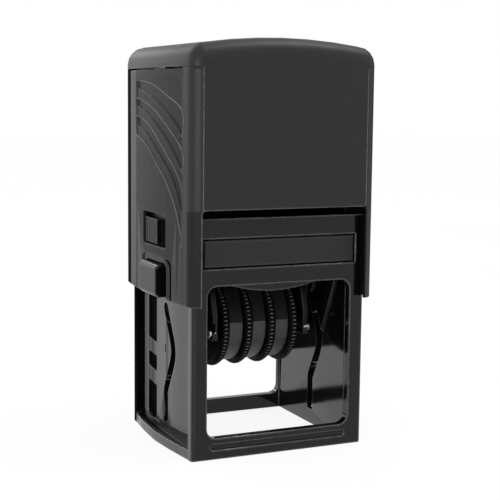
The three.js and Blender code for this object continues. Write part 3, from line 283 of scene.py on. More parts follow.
# Plastics: colour and the colour of worn edges, which is also a painted edge highlight, roughness at the
# least and most, grain with its share over slow waves, and how strongly both stand out
skinDepth = 0.00010  # metres of relief, where a plastic has no depth of its own
mottleShare = 0.35  # of the colour that the mottle darkens
plastics = {
    "hoodSatin": {
        "colour": (0.0052, 0.0052, 0.0054), "wornAndLitEdge": (0.15, 0.15, 0.152), "rough": (0.42, 0.54),
        "grain": 5200.0, "grainShare": 0.75, "wave": 70.0, "bump": 0.11, "specular": 0.40,
    },
    "hoodPanel": {
        "colour": (0.0060, 0.0060, 0.0062), "wornAndLitEdge": (0.12, 0.12, 0.122), "rough": (0.50, 0.62),
        "grain": 5200.0, "grainShare": 0.8, "wave": 90.0, "bump": 0.08, "specular": 0.22,
    },
    "hoodPlain": {
        "colour": (0.0052, 0.0052, 0.0054), "wornAndLitEdge": (0.006, 0.006, 0.0061), "rough": (0.42, 0.54),
        "grain": 5200.0, "grainShare": 0.75, "wave": 70.0, "bump": 0.11, "specular": 0.40,
    },
    "frameGloss": {
        "colour": (0.0030, 0.0030, 0.0032), "wornAndLitEdge": (0.28, 0.28, 0.282), "rough": (0.07, 0.13),
        "grain": 2600.0, "grainShare": 0.12, "wave": 90.0, "bump": 0.03, "specular": 0.30,
    },
    # the frame's outer side walls: a lighter copy of its plastic as painted light, paler still toward the
    # rear as a painted reflection
    "frameSideLit": {
        "colour": (0.030, 0.030, 0.0305), "wornAndLitEdge": (0.20, 0.20, 0.202), "rough": (0.30, 0.38),
        "grain": 2600.0, "grainShare": 0.12, "wave": 90.0, "bump": 0.03, "specular": 0.60,
        "reflectionFade": (15.0, 17.5), "reflectionColour": (0.17, 0.17, 0.172),
    },
    "frameInner": {
        "colour": (0.0040, 0.0040, 0.0042), "wornAndLitEdge": (0.12, 0.12, 0.122), "rough": (0.07, 0.13),
        "grain": 2600.0, "grainShare": 0.12, "wave": 90.0, "bump": 0.03, "specular": 0.58,
    },
    "panelPlain": {
        "colour": (0.0060, 0.0060, 0.0062), "wornAndLitEdge": (0.008, 0.008, 0.0082), "rough": (0.50, 0.62),
        "grain": 5200.0, "grainShare": 0.8, "wave": 90.0, "bump": 0.08, "specular": 0.24,
    },
    "bracketBlack": {
        "colour": (0.0040, 0.0040, 0.0042), "wornAndLitEdge": (0.02, 0.02, 0.0202), "rough": (0.2, 0.3),
        "grain": 3600.0, "grainShare": 0.3, "wave": 120.0, "bump": 0.05, "specular": 0.2,
    },
    "innerGloss": {
        "colour": (0.0040, 0.0040, 0.0042), "wornAndLitEdge": (0.16, 0.16, 0.162), "rough": (0.16, 0.26),
        "grain": 3600.0, "grainShare": 0.3, "wave": 120.0, "bump": 0.05, "specular": 0.30,
    },
    # near-black with almost no gloss: painted shade in slots, recesses, the button's pocket and flanks, the
    # strip behind the side panel, the rear flanges and the pins' ends
    "paintedShadeBlack": {
        "colour": (0.0016, 0.0016, 0.0017), "wornAndLitEdge": (0.004, 0.004, 0.004), "rough": (0.8, 0.95),
        "grain": 3000.0, "grainShare": 0.8, "wave": 120.0, "bump": 0.1, "specular": 0.03,
    },
    # pale lines on the crescents' edges: a painted highlight
    "edgeHighlightPaint": {
        "colour": (0.085, 0.085, 0.086), "wornAndLitEdge": (0.13, 0.13, 0.131), "rough": (0.4, 0.5),
        "grain": 3000.0, "grainShare": 0.6, "wave": 120.0, "bump": 0.05, "specular": 0.35,
    },
    "wheelBlack": {
        "colour": (0.0024, 0.0024, 0.0025), "wornAndLitEdge": (0.004, 0.004, 0.004), "rough": (0.45, 0.6),
        "grain": 4200.0, "grainShare": 0.5, "wave": 200.0, "bump": 0.06, "specular": 0.07,
    },
    # pale tooth tips: a painted highlight
    "toothTipHighlight": {
        "colour": (0.16, 0.16, 0.161), "wornAndLitEdge": (0.30, 0.30, 0.30), "rough": (0.35, 0.5),
        "grain": 4200.0, "grainShare": 0.5, "wave": 200.0, "bump": 0.06, "specular": 0.4,
    },
    "buttonSatin": {
        "colour": (0.0040, 0.0040, 0.0042), "wornAndLitEdge": (0.22, 0.22, 0.222), "rough": (0.2, 0.3),
        "grain": 3600.0, "grainShare": 0.4, "wave": 120.0, "bump": 0.05, "specular": 0.18,
    },
    # the catches seen through the side windows: a darker, less glossy copy of the bow's plastic as painted
    # shade, with painted glints along their edges
    "catchShadedBlack": {
        "colour": (0.0030, 0.0030, 0.0031), "wornAndLitEdge": (0.10, 0.10, 0.101), "rough": (0.3, 0.4),
        "grain": 3600.0, "grainShare": 0.3, "wave": 120.0, "bump": 0.05, "specular": 0.10,
    },
    "bandRubber": {
        "colour": (0.010, 0.010, 0.0105), "wornAndLitEdge": (0.06, 0.06, 0.061), "rough": (0.42, 0.5),
        "grain": 3200.0, "grainShare": 0.8, "wave": 240.0, "bump": 0.06, "specular": 0.65,
    },
    # a darker, less glossy copy of the band rubber: painted shade
    "bandShade": {
        "colour": (0.0085, 0.0085, 0.0088), "wornAndLitEdge": (0.03, 0.03, 0.0305), "rough": (0.5, 0.6),
        "grain": 3200.0, "grainShare": 0.8, "wave": 240.0, "bump": 0.06, "specular": 0.10,
    },
    "dieRubber": {
        "colour": (0.055, 0.052, 0.050), "wornAndLitEdge": (0.12, 0.115, 0.11), "rough": (0.65, 0.85),
        "grain": 3000.0, "grainShare": 0.8, "wave": 240.0, "bump": 0.2, "depth": 0.00012, "specular": 0.3,
    },
    "padFelt": {
        "colour": (0.012, 0.010, 0.022), "wornAndLitEdge": (0.03, 0.026, 0.05), "rough": (0.85, 1.0),
        "grain": 1800.0, "grainShare": 1.0, "wave": 300.0, "bump": 0.6, "depth": 0.0003, "specular": 0.1,
    },
}


def groupNode(tree, group, **values):
    node = tree.nodes.new("ShaderNodeGroup")
    node.node_tree = group
    for key, value in values.items():
        node.inputs[key].default_value = value
    return node


def paintedRearReflection(tree, look):
    # a paler zone toward the rear of the piece: a painted reflection
    place = addNode(tree, "ShaderNodeTexCoord")
    split = addNode(tree, "ShaderNodeSeparateXYZ")
    tree.links.new(place.outputs["Object"], split.inputs[0])
    start, end = look["reflectionFade"]
    ramp = addNode(tree, "ShaderNodeMapRange", {"From Min": start * mm, "From Max": end * mm})
    tree.links.new(split.outputs["Y"], ramp.inputs["Value"])
    mix = addNode(tree, "ShaderNodeMix", data_type="RGBA")
    mix.inputs[6].default_value = (*look["colour"], 1)
    mix.inputs[7].default_value = (*look["reflectionColour"], 1)
    tree.links.new(ramp.outputs["Result"], mix.inputs[0])
    return mix.outputs[2]


def makePlastic(name):
    look = plastics[name]
    material = bpy.data.materials.new(name)
    material.use_nodes = True
    tree = material.node_tree
    link = tree.links.new
    shader = tree.nodes["Principled BSDF"]
    shader.inputs["Specular IOR Level"].default_value = look["specular"]
    skin = groupNode(tree, grainGroup, **{"Grain Scale": look["grain"], "Grain Share": look["grainShare"],
                                          "Wave Scale": look["wave"]})
    # worn edges with a painted highlight along them
    rubAndHighlight = groupNode(tree, edgeWearAndHighlightGroup)
    colour = addNode(tree, "ShaderNodeMix", data_type="RGBA")
    colour.inputs[6].default_value = (*look["colour"], 1)
    if "reflectionFade" in look:
        link(paintedRearReflection(tree, look), colour.inputs[6])
    colour.inputs[7].default_value = (*look["wornAndLitEdge"], 1)
    link(rubAndHighlight.outputs["Mask"], colour.inputs[0])
    mottled = addNode(tree, "ShaderNodeMix", data_type="RGBA", blend_type="MULTIPLY")
    mottled.inputs[0].default_value = mottleShare
    link(colour.outputs[2], mottled.inputs[6])
    link(skin.outputs["Mottle"], mottled.inputs[7])
    link(mottled.outputs[2], shader.inputs["Base Color"])
    rough = addNode(tree, "ShaderNodeMapRange", {"To Min": look["rough"][0], "To Max": look["rough"][1]})
    link(skin.outputs["Mottle"], rough.inputs["Value"])
    link(rough.outputs["Result"], shader.inputs["Roughness"])
    depth = look.get("depth", skinDepth)
    bump = addNode(tree, "ShaderNodeBump", {"Strength": look["bump"], "Distance": depth})
    link(skin.outputs["Height"], bump.inputs["Height"])
    link(bump.outputs["Normal"], shader.inputs["Normal"])
    return material


# Steel: drawn along X, so its fine lines run that way
steel = {
    "dark": (0.42, 0.42, 0.43), "light": (0.66, 0.66, 0.67), "rough": (0.18, 0.34),
    "lines": (300.0, 4000.0, 4000.0), "bump": 0.08, "depth": 0.00005,
}


def makeSteel():
    material = bpy.data.materials.new("brightSteel")
    material.use_nodes = True
    tree = material.node_tree
    link = tree.links.new
    shader = tree.nodes["Principled BSDF"]
    shader.inputs["Metallic"].default_value = 1.0
    place = addNode(tree, "ShaderNodeTexCoord")
    stretch = addNode(tree, "ShaderNodeMapping", {"Scale": steel["lines"]})
    lines = addNode(tree, "ShaderNodeTexNoise", {"Scale": 1.0, "Detail": 3.0})
    link(place.outputs["Object"], stretch.inputs["Vector"])
    link(stretch.outputs["Vector"], lines.inputs["Vector"])
    shade = addNode(tree, "ShaderNodeMix", data_type="RGBA")
    shade.inputs[6].default_value = (*steel["dark"], 1)
    shade.inputs[7].default_value = (*steel["light"], 1)
    link(lines.outputs["Fac"], shade.inputs[0])
    link(shade.outputs[2], shader.inputs["Base Color"])
    rough = addNode(tree, "ShaderNodeMapRange", {"To Min": steel["rough"][0], "To Max": steel["rough"][1]})
    link(lines.outputs["Fac"], rough.inputs["Value"])
    link(rough.outputs["Result"], shader.inputs["Roughness"])
    bump = addNode(tree, "ShaderNodeBump", {"Strength": steel["bump"], "Distance": steel["depth"]})
    link(lines.outputs["Fac"], bump.inputs["Height"])
    link(bump.outputs["Normal"], shader.inputs["Normal"])
    return material


materials = {name: makePlastic(name) for name in plastics}
materials["brightSteel"] = makeSteel()
print("materials made:", ", ".join(sorted(materials)))

# Each CAD piece: its body, its finish, and how far its edges are rounded in millimetres
dressing = {
    "frame": ("frame", "frameGloss", 0.34),
    "pad_tray": ("pad_cartridge", "hoodSatin", 0.26),
    "ink_pad": ("pad_cartridge", "padFelt", 0.5),
    "hood_shell": ("press", "hoodSatin", 0.26),
    "index_cover": ("cover", "hoodSatin", 0.22),
    "bow": ("press", "innerGloss", 0.24),
    "lock_button_left": ("lock_left", "buttonSatin", 0.3),
    "lock_button_right": ("lock_right", "buttonSatin", 0.3),
    "type_holder": ("type_carrier", "innerGloss", 0.26),
    "text_die": ("type_carrier", "dieRubber", 0.14),
    "wheel_bracket": ("type_carrier", "bracketBlack", 0.16),
    "band_bridge": ("type_carrier", "innerGloss", 0.12),
    "day_wheel": ("day_dial", "wheelBlack", 0.12),
    "month_wheel": ("month_dial", "wheelBlack", 0.12),
    "year_wheel": ("year_dial", "wheelBlack", 0.12),
    "day_band": ("type_carrier", "bandRubber", 0.16),
    "month_band": ("type_carrier", "bandRubber", 0.16),
    "year_band": ("type_carrier", "bandRubber", 0.16),
    # the pins' ends are painted dark as shade
    "pivot_pin_left": ("type_carrier", "paintedShadeBlack", 0.2),
    "pivot_pin_right": ("type_carrier", "paintedShadeBlack", 0.2),
    "cam_pin_left": ("type_carrier", "paintedShadeBlack", 0.2),
    "cam_pin_right": ("type_carrier", "paintedShadeBlack", 0.2),
    "bracket_rivet_left": ("type_carrier", "brightSteel", 0.2),
    "bracket_rivet_right": ("type_carrier", "brightSteel", 0.2),
    "wheel_axle": ("type_carrier", "brightSteel", 0.2),
}
dials = ("day", "month", "year")

# How a copy is merged, cut and rounded: angles in degrees
edges = {
    "merge": 0.001,
    "cut": 0.01,
    "flatAngle": 0.4,
    "sharpAngle": 34.0,
    "segments": 3,
    "straightOn": -0.8,  # an edge below this cosine goes straight on from the rounded one
    "spare": 1.15,
    "mostSides": 4,  # a face with more is divided into triangles
    "flatWeight": 80,
}
near = 0.1  # millimetres: a corner this close to a named place lies on it


def hasRoom(edge, sharp, width):
    # a rounding must not run past the far end of any edge that leaves this one's ends
    for vert in edge.verts:
        along = (edge.other_vert(vert).co - vert.co).normalized()
        for other in vert.link_edges:
            away = (other.other_vert(vert).co - vert.co).normalized()
            if other is edge or along.dot(away) < edges["straightOn"]:
                continue
            if other.calc_length() < width * (2 if other in sharp else edges["spare"]):
                return False
    return True


def cutAt(bm, axis, places):
    # new edges where planes square to an axis cross the copy, so that a shape or a finish can start there
    normal = Vector((0, 0, 0))
    normal[axis] = 1
    for place in places:
        bmesh.ops.bisect_plane(bm, geom=list(bm.verts) + list(bm.edges) + list(bm.faces),
                               dist=edges["cut"] * mm, plane_co=normal * (place * mm), plane_no=normal)


# Small corrections of the copies, before their edges are rounded
# The seam under the cap: it shows along the side panels and is closed at the four corners and at a tab
seam = {
    "low": 115.2, "high": 115.5, "fill": 0.28, "open": 0.2, "corner": 23.0, "step": 0.3,
    "tab": (-11.84, -2.35),
    "rimBelow": 0.3, "rimAbove": 0.2,  # how far past the seam its rims are kept sharp
    "edge": 115.65, "cornerOut": 26.9,
    "stripCut": 114.6, "capCut": 116.5,  # the plain finish at the closed corners lies between these
}

# The front opening and the cap's panel in it: their side edges reach the start of the corners' rounding
opening = {
    "hoodFrom": 25.98, "coverFrom": 25.8, "to": 26.22, "hoodOuter": 26.18, "coverOuter": 26.0,
    "front": -28.0, "back": -28.9, "top": 116.0, "low": 74.5, "legBack": -26.0,
    "hoodX": 26.87, "coverX": 26.79, "filletX": 26.95, "filletY": -29.64,
    "arcFrom": 25.4, "arcLow": 73.4, "arcHigh": 74.35, "arcShift": 0.87,
}

# The sunk panel on each side, and the strip behind it, which is painted dark as shade
sidePanel = {
    "front": -23.6, "rear": 15.0, "foot": 60.0, "top": 112.2, "out": 27.0, "upperOut": 28.0,
    "strip": 21.84, "stripTop": 115.7,
}


def moveOpeningEdges(bm, start, outer, edgeX):
    for vert in bm.verts:
        place = vert.co / mm
        across = abs(place.x)
        if start < across < opening["to"] and place.y < opening["front"] and place.z < opening["top"]:
            vert.co.x = math.copysign((opening["filletX"] if across > outer else edgeX) * mm, place.x)
            if place.y < opening["back"]:
                vert.co.y = opening["filletY"] * mm


def reshapeHood(bm):
    corner, step = seam["corner"], seam["step"]
    tabFront, tabRear = seam["tab"]
    cutAt(bm, 1, (corner, corner + step, -corner, -corner - step, sidePanel["strip"], sidePanel["rear"],
                  tabFront, tabFront + step, tabRear, tabRear - step))
    cutAt(bm, 2, (opening["low"], seam["stripCut"]))
    for vert in bm.verts:
        place = vert.co / mm
        if seam["low"] < place.z < seam["high"]:
            inTab = tabFront + step / 2 < place.y < tabRear - step / 2
            closed = abs(place.y) > corner + step / 2 or inTab
            vert.co.z += (seam["fill"] if closed else -seam["open"]) * mm
    moveOpeningEdges(bm, opening["hoodFrom"], opening["hoodOuter"], opening["hoodX"])
    for vert in bm.verts:
        place = vert.co / mm
        onArc = opening["arcFrom"] < abs(place.x) < opening["hoodFrom"] and place.y < opening["front"]
        if onArc and opening["arcLow"] < place.z < opening["arcHigh"]:
            vert.co.x += math.copysign(opening["arcShift"] * mm, place.x)


def reshapeCover(bm):
    cutAt(bm, 1, (seam["corner"], -seam["corner"]))
    cutAt(bm, 2, (seam["capCut"],))
    moveOpeningEdges(bm, opening["coverFrom"], opening["coverOuter"], opening["coverX"])


# The knurled rims: their teeth narrow toward small tips, which are painted pale past the paint's radius: a
# painted highlight
teeth = {
    "centre": 36.7, "tip": 13.6, "shoulder": 0.9, "paint": 13.78, "flank": 0.05,
    "rims": 4, "firstRim": -13.55, "rimPitch": 7.8, "rimWidth": 2.5,
}


def reshapeWheel(bm):
    for vert in bm.verts:
        place = vert.co / mm
        if math.hypot(place.y, place.z - teeth["centre"]) < teeth["tip"]:
            continue
        for rim in range(teeth["rims"]):
            side = teeth["firstRim"] + rim * teeth["rimPitch"]
            if abs(place.x - side) < teeth["flank"]:
                vert.co.x += teeth["shoulder"] * mm
            elif abs(place.x - side - teeth["rimWidth"]) < teeth["flank"]:
                vert.co.x -= teeth["shoulder"] * mm


# The bands carry painted shade at the front above this level: a darker, less glossy copy of their rubber
bandShaded = {"above": 38.1, "front": -6.0}


def reshapeBand(bm):
    cutAt(bm, 2, (bandShaded["above"],))


# The frame's side walls: flat at both ends on the outside, with recesses that reach further to the rear
sideWall = {
    "from": 24.85, "to": 26.3, "ends": 23.2, "foot": 1.0, "flat": 25.5,
    "recessFrom": 16.1, "recessTo": 17.0, "recessIn": 24.6, "recessOut": 26.0, "recessTop": 60.0,
    "recessShift": 2.6, "bend": 17.33,
}
# The rims of the cam slots and of the slits beside them stay sharp: a rounding would close the slits
slotRim = {"inside": 23.5, "reach": 8.5, "top": 45.0}


def reshapeFrame(bm):
    for vert in bm.verts:
        place = vert.co / mm
        across = abs(place.x)
        onWall = sideWall["from"] < across < sideWall["to"] and place.z > sideWall["foot"]
        if onWall and abs(place.y) < sideWall["ends"]:
            vert.co.x = math.copysign(sideWall["flat"] * mm, place.x)
        onRecess = sideWall["recessIn"] < across < sideWall["recessOut"] and place.z < sideWall["recessTop"]
        atRear = onRecess and sideWall["recessFrom"] < place.y < sideWall["recessTo"]
        if atRear or onWall and abs(place.y - sideWall["bend"]) < near:
            vert.co.y += sideWall["recessShift"] * mm


# The ribbed catches: they leave a gap at the front of the hood's side windows
catches = {
    "out": 29.3, "paintOut": 29.0, "low": 62.2, "high": 71.9, "rear": 7.0, "front": -11.9, "share": 0.56,
    "upper": 71.0, "drop": 1.5,
}


def reshapeBow(bm):
    for vert in bm.verts:
        place = vert.co / mm
        inWindow = catches["front"] < place.y < catches["rear"] + near
        if abs(place.x) > catches["out"] and inWindow and catches["low"] < place.z < catches["high"]:
            vert.co.y = (catches["rear"] - (catches["rear"] - place.y) * catches["share"]) * mm
            if place.z > catches["upper"]:
                vert.co.z -= catches["drop"] * mm


reshapers = {
    "hood_shell": reshapeHood,
    "index_cover": reshapeCover,
    "frame": reshapeFrame,
    "bow": reshapeBow,
}
for dial in dials:
    reshapers[dial + "_wheel"] = reshapeWheel
    reshapers[dial + "_band"] = reshapeBand


def keptSharpHood(edge):
    # closed seams are not rounded
    places = [vert.co / mm for vert in edge.verts]
    low, high = seam["low"] - seam["rimBelow"], seam["high"] + seam["rimAbove"]
    rim = all(low < p.z < high and abs(p.y) > seam["corner"] - near for p in places)
    besidePanel = all(abs(abs(p.x) - opening["hoodX"]) < near and p.y < opening["front"]
                      and p.z > opening["low"] - near for p in places)
    panelTop = all(abs(p.z - sidePanel["top"]) < near and abs(p.x) > sidePanel["upperOut"] for p in places)
    return rim or besidePanel or panelTop


def keptSharpCover(edge):
    places = [vert.co / mm for vert in edge.verts]
    return all(abs(p.z - seam["edge"]) < near and abs(p.y) > seam["corner"] - near for p in places)


def keptSharpFrame(edge):
    places = [vert.co / mm for vert in edge.verts]
    return all(abs(p.x) > slotRim["inside"] and abs(p.y) < slotRim["reach"] and p.z < slotRim["top"]
               for p in places)


keptSharp = {"hood_shell": keptSharpHood, "index_cover": keptSharpCover, "frame": keptSharpFrame}


def keepInside(bm, solid):
    # no corner of the copy reaches past the solid's own box
    for axis in range(3):
        low = min(vert.co[axis] for vert in solid.vertices)
        high = max(vert.co[axis] for vert in solid.vertices)
        for vert in bm.verts:
            vert.co[axis] = min(max(vert.co[axis], low), high)


def roundedCopy(nodeName, width):
    bm = bmesh.new()
    bm.from_mesh(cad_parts[nodeName].data)
    bmesh.ops.remove_doubles(bm, verts=bm.verts, dist=edges["merge"] * mm)
    bmesh.ops.dissolve_limit(bm, angle_limit=math.radians(edges["flatAngle"]),
                             verts=bm.verts, edges=bm.edges)
    if nodeName in reshapers:
        reshapers[nodeName](bm)
    limit = math.radians(edges["sharpAngle"])
    sharp = {e for e in bm.edges if len(e.link_faces) == 2 and e.calc_face_angle() > limit}
    if nodeName in keptSharp:
        sharp = {e for e in sharp if not keptSharp[nodeName](e)}
    chosen = [e for e in bm.edges if e in sharp and hasRoom(e, sharp, width * mm)]
    bmesh.ops.bevel(bm, geom=chosen, offset=width * mm, offset_type="OFFSET", affect="EDGES",
                    segments=edges["segments"], profile=0.5, clamp_overlap=False, material=-1)
    keepInside(bm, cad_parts[nodeName].data)
    bmesh.ops.triangulate(bm, faces=[f for f in bm.faces if len(f.verts) > edges["mostSides"]])
    for face in bm.faces:
        face.smooth = True
    mesh = bpy.data.meshes.new(nodeName + "_finished")
    bm.to_mesh(mesh)
    bm.free()
    mesh.set_sharp_from_angle(angle=limit)
    piece = bpy.data.objects.new(nodeName + "_finished", mesh)
    bpy.context.scene.collection.objects.link(piece)
    weights = piece.modifiers.new("flatFacesFirst", "WEIGHTED_NORMAL")
    weights.keep_sharp = True
    weights.weight = edges["flatWeight"]
    return piece


pieces = {}
for nodeName, (body, finish, width) in dressing.items():
    piece = roundedCopy(nodeName, width)
    piece.data.materials.append(materials[finish])
    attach(piece, body)
    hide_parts(nodeName)
    pieces[nodeName] = piece
print("pieces dressed:", len(dressing))


# Faces with a finish of their own, told by where their middle is and by how far they look to the side
def refinish(piece, finish, belongs):
    piece.data.materials.append(materials[finish])
    slot = len(piece.data.materials) - 1
    for polygon in piece.data.polygons:
        if belongs(polygon.center / mm, polygon.normal):
            polygon.material_index = slot


looksAside = {"slightly": 0.2, "mostly": 0.5, "straight": 0.9}
pocket = {"inside": 29.9, "outside": 31.2, "front": -16.1, "rear": -10.7, "low": 46.0, "high": 58.6}
wallFaces = {
    "outer": 24.9, "inner": 23.9, "low": 4.0, "recessIn": 24.05, "recessOut": 25.45, "recessReach": 20.0,
    "flange": 25.6, "flangeFront": 22.3, "flangeRear": 25.95,
}
buttonFront = -0.6  # of the normal's Y: flanks of the buttons that look to the front


def onSidePanel(middle, normal):
    inside = sidePanel["front"] < middle.y < sidePanel["rear"] and abs(middle.x) > sidePanel["out"]
    level = sidePanel["foot"] < middle.z < sidePanel["top"]
    return inside and level and abs(normal.x) > looksAside["slightly"]


def abovePanel(middle, normal):
    inside = sidePanel["front"] < middle.y < sidePanel["rear"] and abs(middle.x) > sidePanel["upperOut"]
    level = sidePanel["top"] < middle.z < seam["high"]
    return inside and level and abs(normal.x) > looksAside["mostly"]


def onRearStrip(middle, normal):
    behind = middle.y > sidePanel["strip"] and middle.z < sidePanel["stripTop"]
    return abs(middle.x) > sidePanel["out"] and behind and abs(normal.x) > looksAside["mostly"]


def besideSeam(middle, normal):
    atCorner = abs(middle.y) > seam["corner"] and seam["stripCut"] < middle.z < seam["capCut"]
    atFront = abs(middle.x) > opening["hoodFrom"] and middle.y < opening["front"]
    return atCorner or atFront and (middle.z > opening["low"] or middle.x > 0)


def onFrontLeg(middle, normal):
    return middle.x < -opening["hoodFrom"] and middle.y < opening["legBack"] and middle.z < opening["low"]


def onCapCorner(middle, normal):
    level = seam["edge"] - near < middle.z < seam["capCut"]
    return abs(middle.y) > seam["corner"] and level and abs(middle.x) > seam["cornerOut"]


def inPocket(middle, normal):
    inside = pocket["front"] < middle.y < pocket["rear"] and pocket["low"] < middle.z < pocket["high"]
    return inside and pocket["inside"] < abs(middle.x) < pocket["outside"]


def onToothHighlight(middle, normal):
    return math.hypot(middle.y, middle.z - teeth["centre"]) > teeth["paint"]


def inBandShade(middle, normal):
    return middle.z > bandShaded["above"] and middle.y < bandShaded["front"]


def onCatch(middle, normal):
    return abs(middle.x) > catches["paintOut"]


def onOuterWall(middle, normal):
    straight = abs(normal.x) > looksAside["straight"]
    return normal.x * middle.x > 0 and straight and abs(middle.x) > wallFaces["outer"]


def onInnerWall(middle, normal):
    straight = abs(normal.x) > looksAside["straight"]
    return normal.x * middle.x < 0 and straight and abs(middle.x) > wallFaces["inner"]


def inWallRecess(middle, normal):
    inside = wallFaces["recessIn"] < abs(middle.x) < wallFaces["recessOut"]
    reach = abs(middle.y) < wallFaces["recessReach"] and middle.z > wallFaces["low"]
    flank = abs(normal.x) < looksAside["mostly"]
    floor = normal.x * middle.x > 0 and abs(middle.x) < wallFaces["outer"]
    return inside and reach and (flank or floor)


def onRearFlange(middle, normal):
    inside = wallFaces["flangeFront"] < middle.y < wallFaces["flangeRear"]
    return abs(middle.x) > wallFaces["flange"] and inside and middle.z > wallFaces["low"]


def onButtonFlank(middle, normal):
    return normal.y < buttonFront


# In order: a later finish goes over an earlier one
refinish(pieces["hood_shell"], "hoodPanel", onSidePanel)
refinish(pieces["hood_shell"], "hoodPlain", besideSeam)
refinish(pieces["hood_shell"], "panelPlain", abovePanel)
# only the left front leg takes the duller side-panel finish: painted shade
refinish(pieces["hood_shell"], "hoodPanel", onFrontLeg)
refinish(pieces["index_cover"], "hoodPlain", onCapCorner)
# the catches take the darker copy: painted shade
refinish(pieces["bow"], "catchShadedBlack", onCatch)
for dial in dials:
    refinish(pieces[dial + "_wheel"], "toothTipHighlight", onToothHighlight)
    refinish(pieces[dial + "_band"], "bandShade", inBandShade)
# painted shade: the strip behind the side panels, the button's pocket, the frame's slots, recesses and rear
# flanges, and the buttons' front flanks
refinish(pieces["hood_shell"], "paintedShadeBlack", onRearStrip)
refinish(pieces["hood_shell"], "paintedShadeBlack", inPocket)
# the outer side walls take the lighter copy: painted light and a painted reflection
refinish(pieces["frame"], "frameSideLit", onOuterWall)
refinish(pieces["frame"], "frameInner", onInnerWall)
refinish(pieces["frame"], "paintedShadeBlack", inWallRecess)
refinish(pieces["frame"], "paintedShadeBlack", onRearFlange)
for side in ("left", "right"):
    refinish(pieces["lock_button_" + side], "paintedShadeBlack", onButtonFlank)

# Raised lines on the hood's sides: along the upper edges of the crescents, pale as a painted highlight, and
# round the button's pocket
sideLines = {
    "rear": 15.0, "front": -22.9, "bottom": 60.1, "top": 112.1, "radius": 0.17, "sink": 0.04, "steps": 5,
    "curveShares": [
        [(0.0, 1.0), (0.36, 0.98), (0.71, 0.91), (1.0, 0.825), (1.0, 0.68)],
        [(0.0, 0.895), (0.4, 0.84), (0.71, 0.74), (1.0, 0.6), (1.0, 0.475)],
        [(0.0, 0.79), (0.36, 0.73), (0.71, 0.575), (0.92, 0.46), (1.0, 0.35)],
        [(0.0, 0.68), (0.28, 0.62), (0.48, 0.535), (0.71, 0.415), (0.88, 0.27), (1.0, 0.07)],
    ],
    "pocket": [(-12.7, 46.8), (-12.7, 55.4), (-12.1, 57.0), (-10.8, 57.9), (-9.0, 58.3)],
    "pocketRadius": 1.15, "pocketSink": 0.55,
    "roundness": 3, "outside": 40.0,  # the surface is looked for from out here
}


def surfaceFinder(piece):
    bm = bmesh.new()
    bm.from_mesh(piece.data)
    tree = BVHTree.FromBMesh(bm)
    bm.free()

    def find(side, y, z):
        start = Vector((side * sideLines["outside"], y, z)) * mm
        return tree.ray_cast(start, Vector((-side, 0, 0)))[0]

    return find


def smoothPath(points, steps):
    # points along a curve that passes through the given ones
    path = []
    for i in range(len(points) - 1):
        before = Vector(points[max(i - 1, 0)])
        start, end = Vector(points[i]), Vector(points[i + 1])
        after = Vector(points[min(i + 2, len(points) - 1)])
        for k in range(steps):
            t = k / steps
            bend = (end - before) * t + (2 * before - 5 * start + 4 * end - after) * t ** 2
            path.append(start + (bend + (3 * start - before - 3 * end + after) * t ** 3) / 2)
    path.append(Vector(points[-1]))
    return path


def addLine(curve, side, points, sink, find):
    spline = curve.splines.new("POLY")
    spline.points.add(len(points) - 1)
    for target, (y, z) in zip(spline.points, points):
        hit = find(side, y, z)
        target.co = (hit.x - side * sink * mm, y * mm, z * mm, 1)


def makeLines(name, radius, finish, side, paths, sink, find):
    # round lines along the given paths on the hood's side, as one mesh
    curve = bpy.data.curves.new(name, "CURVE")
    curve.dimensions = "3D"
    curve.bevel_depth = radius * mm
    curve.bevel_resolution = sideLines["roundness"]
    curve.use_fill_caps = True
    for points in paths:
        addLine(curve, side, points, sink, find)
    drawn = bpy.data.objects.new(name, curve)
    mesh = bpy.data.meshes.new_from_object(drawn)
    bpy.data.objects.remove(drawn)
    mesh.name = name
    mesh.materials.clear()
    mesh.materials.append(materials[finish])
    piece = bpy.data.objects.new(name, mesh)
    bpy.context.scene.collection.objects.link(piece)
    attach(piece, "press")


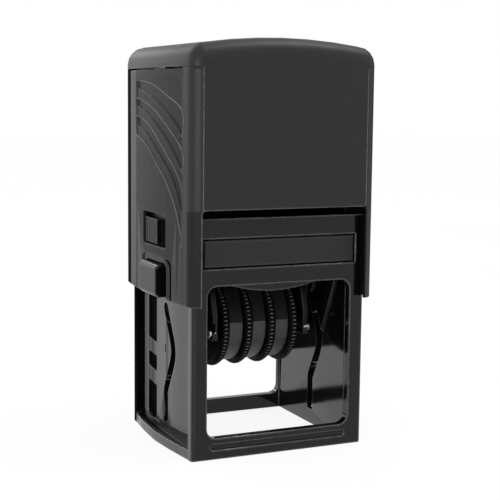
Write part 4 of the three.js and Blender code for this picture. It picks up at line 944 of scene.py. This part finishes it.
findSide = surfaceFinder(pieces["hood_shell"])
for sideName, side in (("left", -1), ("right", 1)):
    look = sideLines
    crescents = []
    for shares in look["curveShares"]:
        corners = [(look["rear"] + (look["front"] - look["rear"]) * across,
                    look["bottom"] + (look["top"] - look["bottom"]) * up) for across, up in shares]
        crescents.append(smoothPath(corners, look["steps"]))
    makeLines("hood_lines_" + sideName, look["radius"], "edgeHighlightPaint", side, crescents, look["sink"], findSide)
    rib = smoothPath(look["pocket"], look["steps"])
    makeLines("pocket_rib_" + sideName, look["pocketRadius"], "hoodSatin", side, [rib],
              look["pocketSink"], findSide)
print("side lines drawn")

# Return spring: round wire with closed ends
springWire = {
    "radius": 6.4, "wire": 0.6, "bottom": 68.9, "top": 116.1, "turns": 8, "endPitch": 1.75,
    "stepsPerTurn": 24, "sides": 10, "merge": 0.01,
    "seat": 117.0,  # the roof above it, toward which it is pressed
    "keep": 0.2197,  # share of its height that is left when the hood is all the way down
}


def makeSpring():
    look = springWire
    bm = bmesh.new()
    ring = bmesh.ops.create_circle(bm, cap_ends=False, segments=look["sides"], radius=look["wire"] * mm)
    turnUp = Matrix.Rotation(math.radians(90), 4, "X")
    shift = Matrix.Translation(Vector((look["radius"], 0, look["bottom"])) * mm)
    bmesh.ops.transform(bm, matrix=shift @ turnUp, verts=ring["verts"])
    middleTurns = look["turns"] - 2
    middlePitch = (look["top"] - look["bottom"] - 2 * look["endPitch"]) / middleTurns
    last = list(bm.edges)
    for turns, pitch in ((1, look["endPitch"]), (middleTurns, middlePitch), (1, look["endPitch"])):
        steps = turns * look["stepsPerTurn"]
        rise = Vector((0, 0, pitch / look["stepsPerTurn"] * mm))
        spun = bmesh.ops.spin(bm, geom=last, cent=(0, 0, 0), axis=(0, 0, 1), dvec=rise,
                              angle=math.radians(360 * turns), steps=steps, use_merge=False)
        last = [e for e in spun["geom_last"] if isinstance(e, bmesh.types.BMEdge)]
    bmesh.ops.remove_doubles(bm, verts=bm.verts, dist=look["merge"] * mm)
    bmesh.ops.holes_fill(bm, edges=[e for e in bm.edges if e.is_boundary], sides=0)
    bmesh.ops.recalc_face_normals(bm, faces=bm.faces)
    for face in bm.faces:
        face.smooth = len(face.verts) == 4  # the wire's two ends stay flat
    mesh = bpy.data.meshes.new("spring_wire")
    bm.to_mesh(mesh)
    bm.free()
    piece = bpy.data.objects.new("spring_wire", mesh)
    bpy.context.scene.collection.objects.link(piece)
    return piece


spring = makeSpring()
spring.data.materials.append(materials["brightSteel"])
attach(spring, "press")
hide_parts("return_spring")
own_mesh(spring)
print("spring wound")
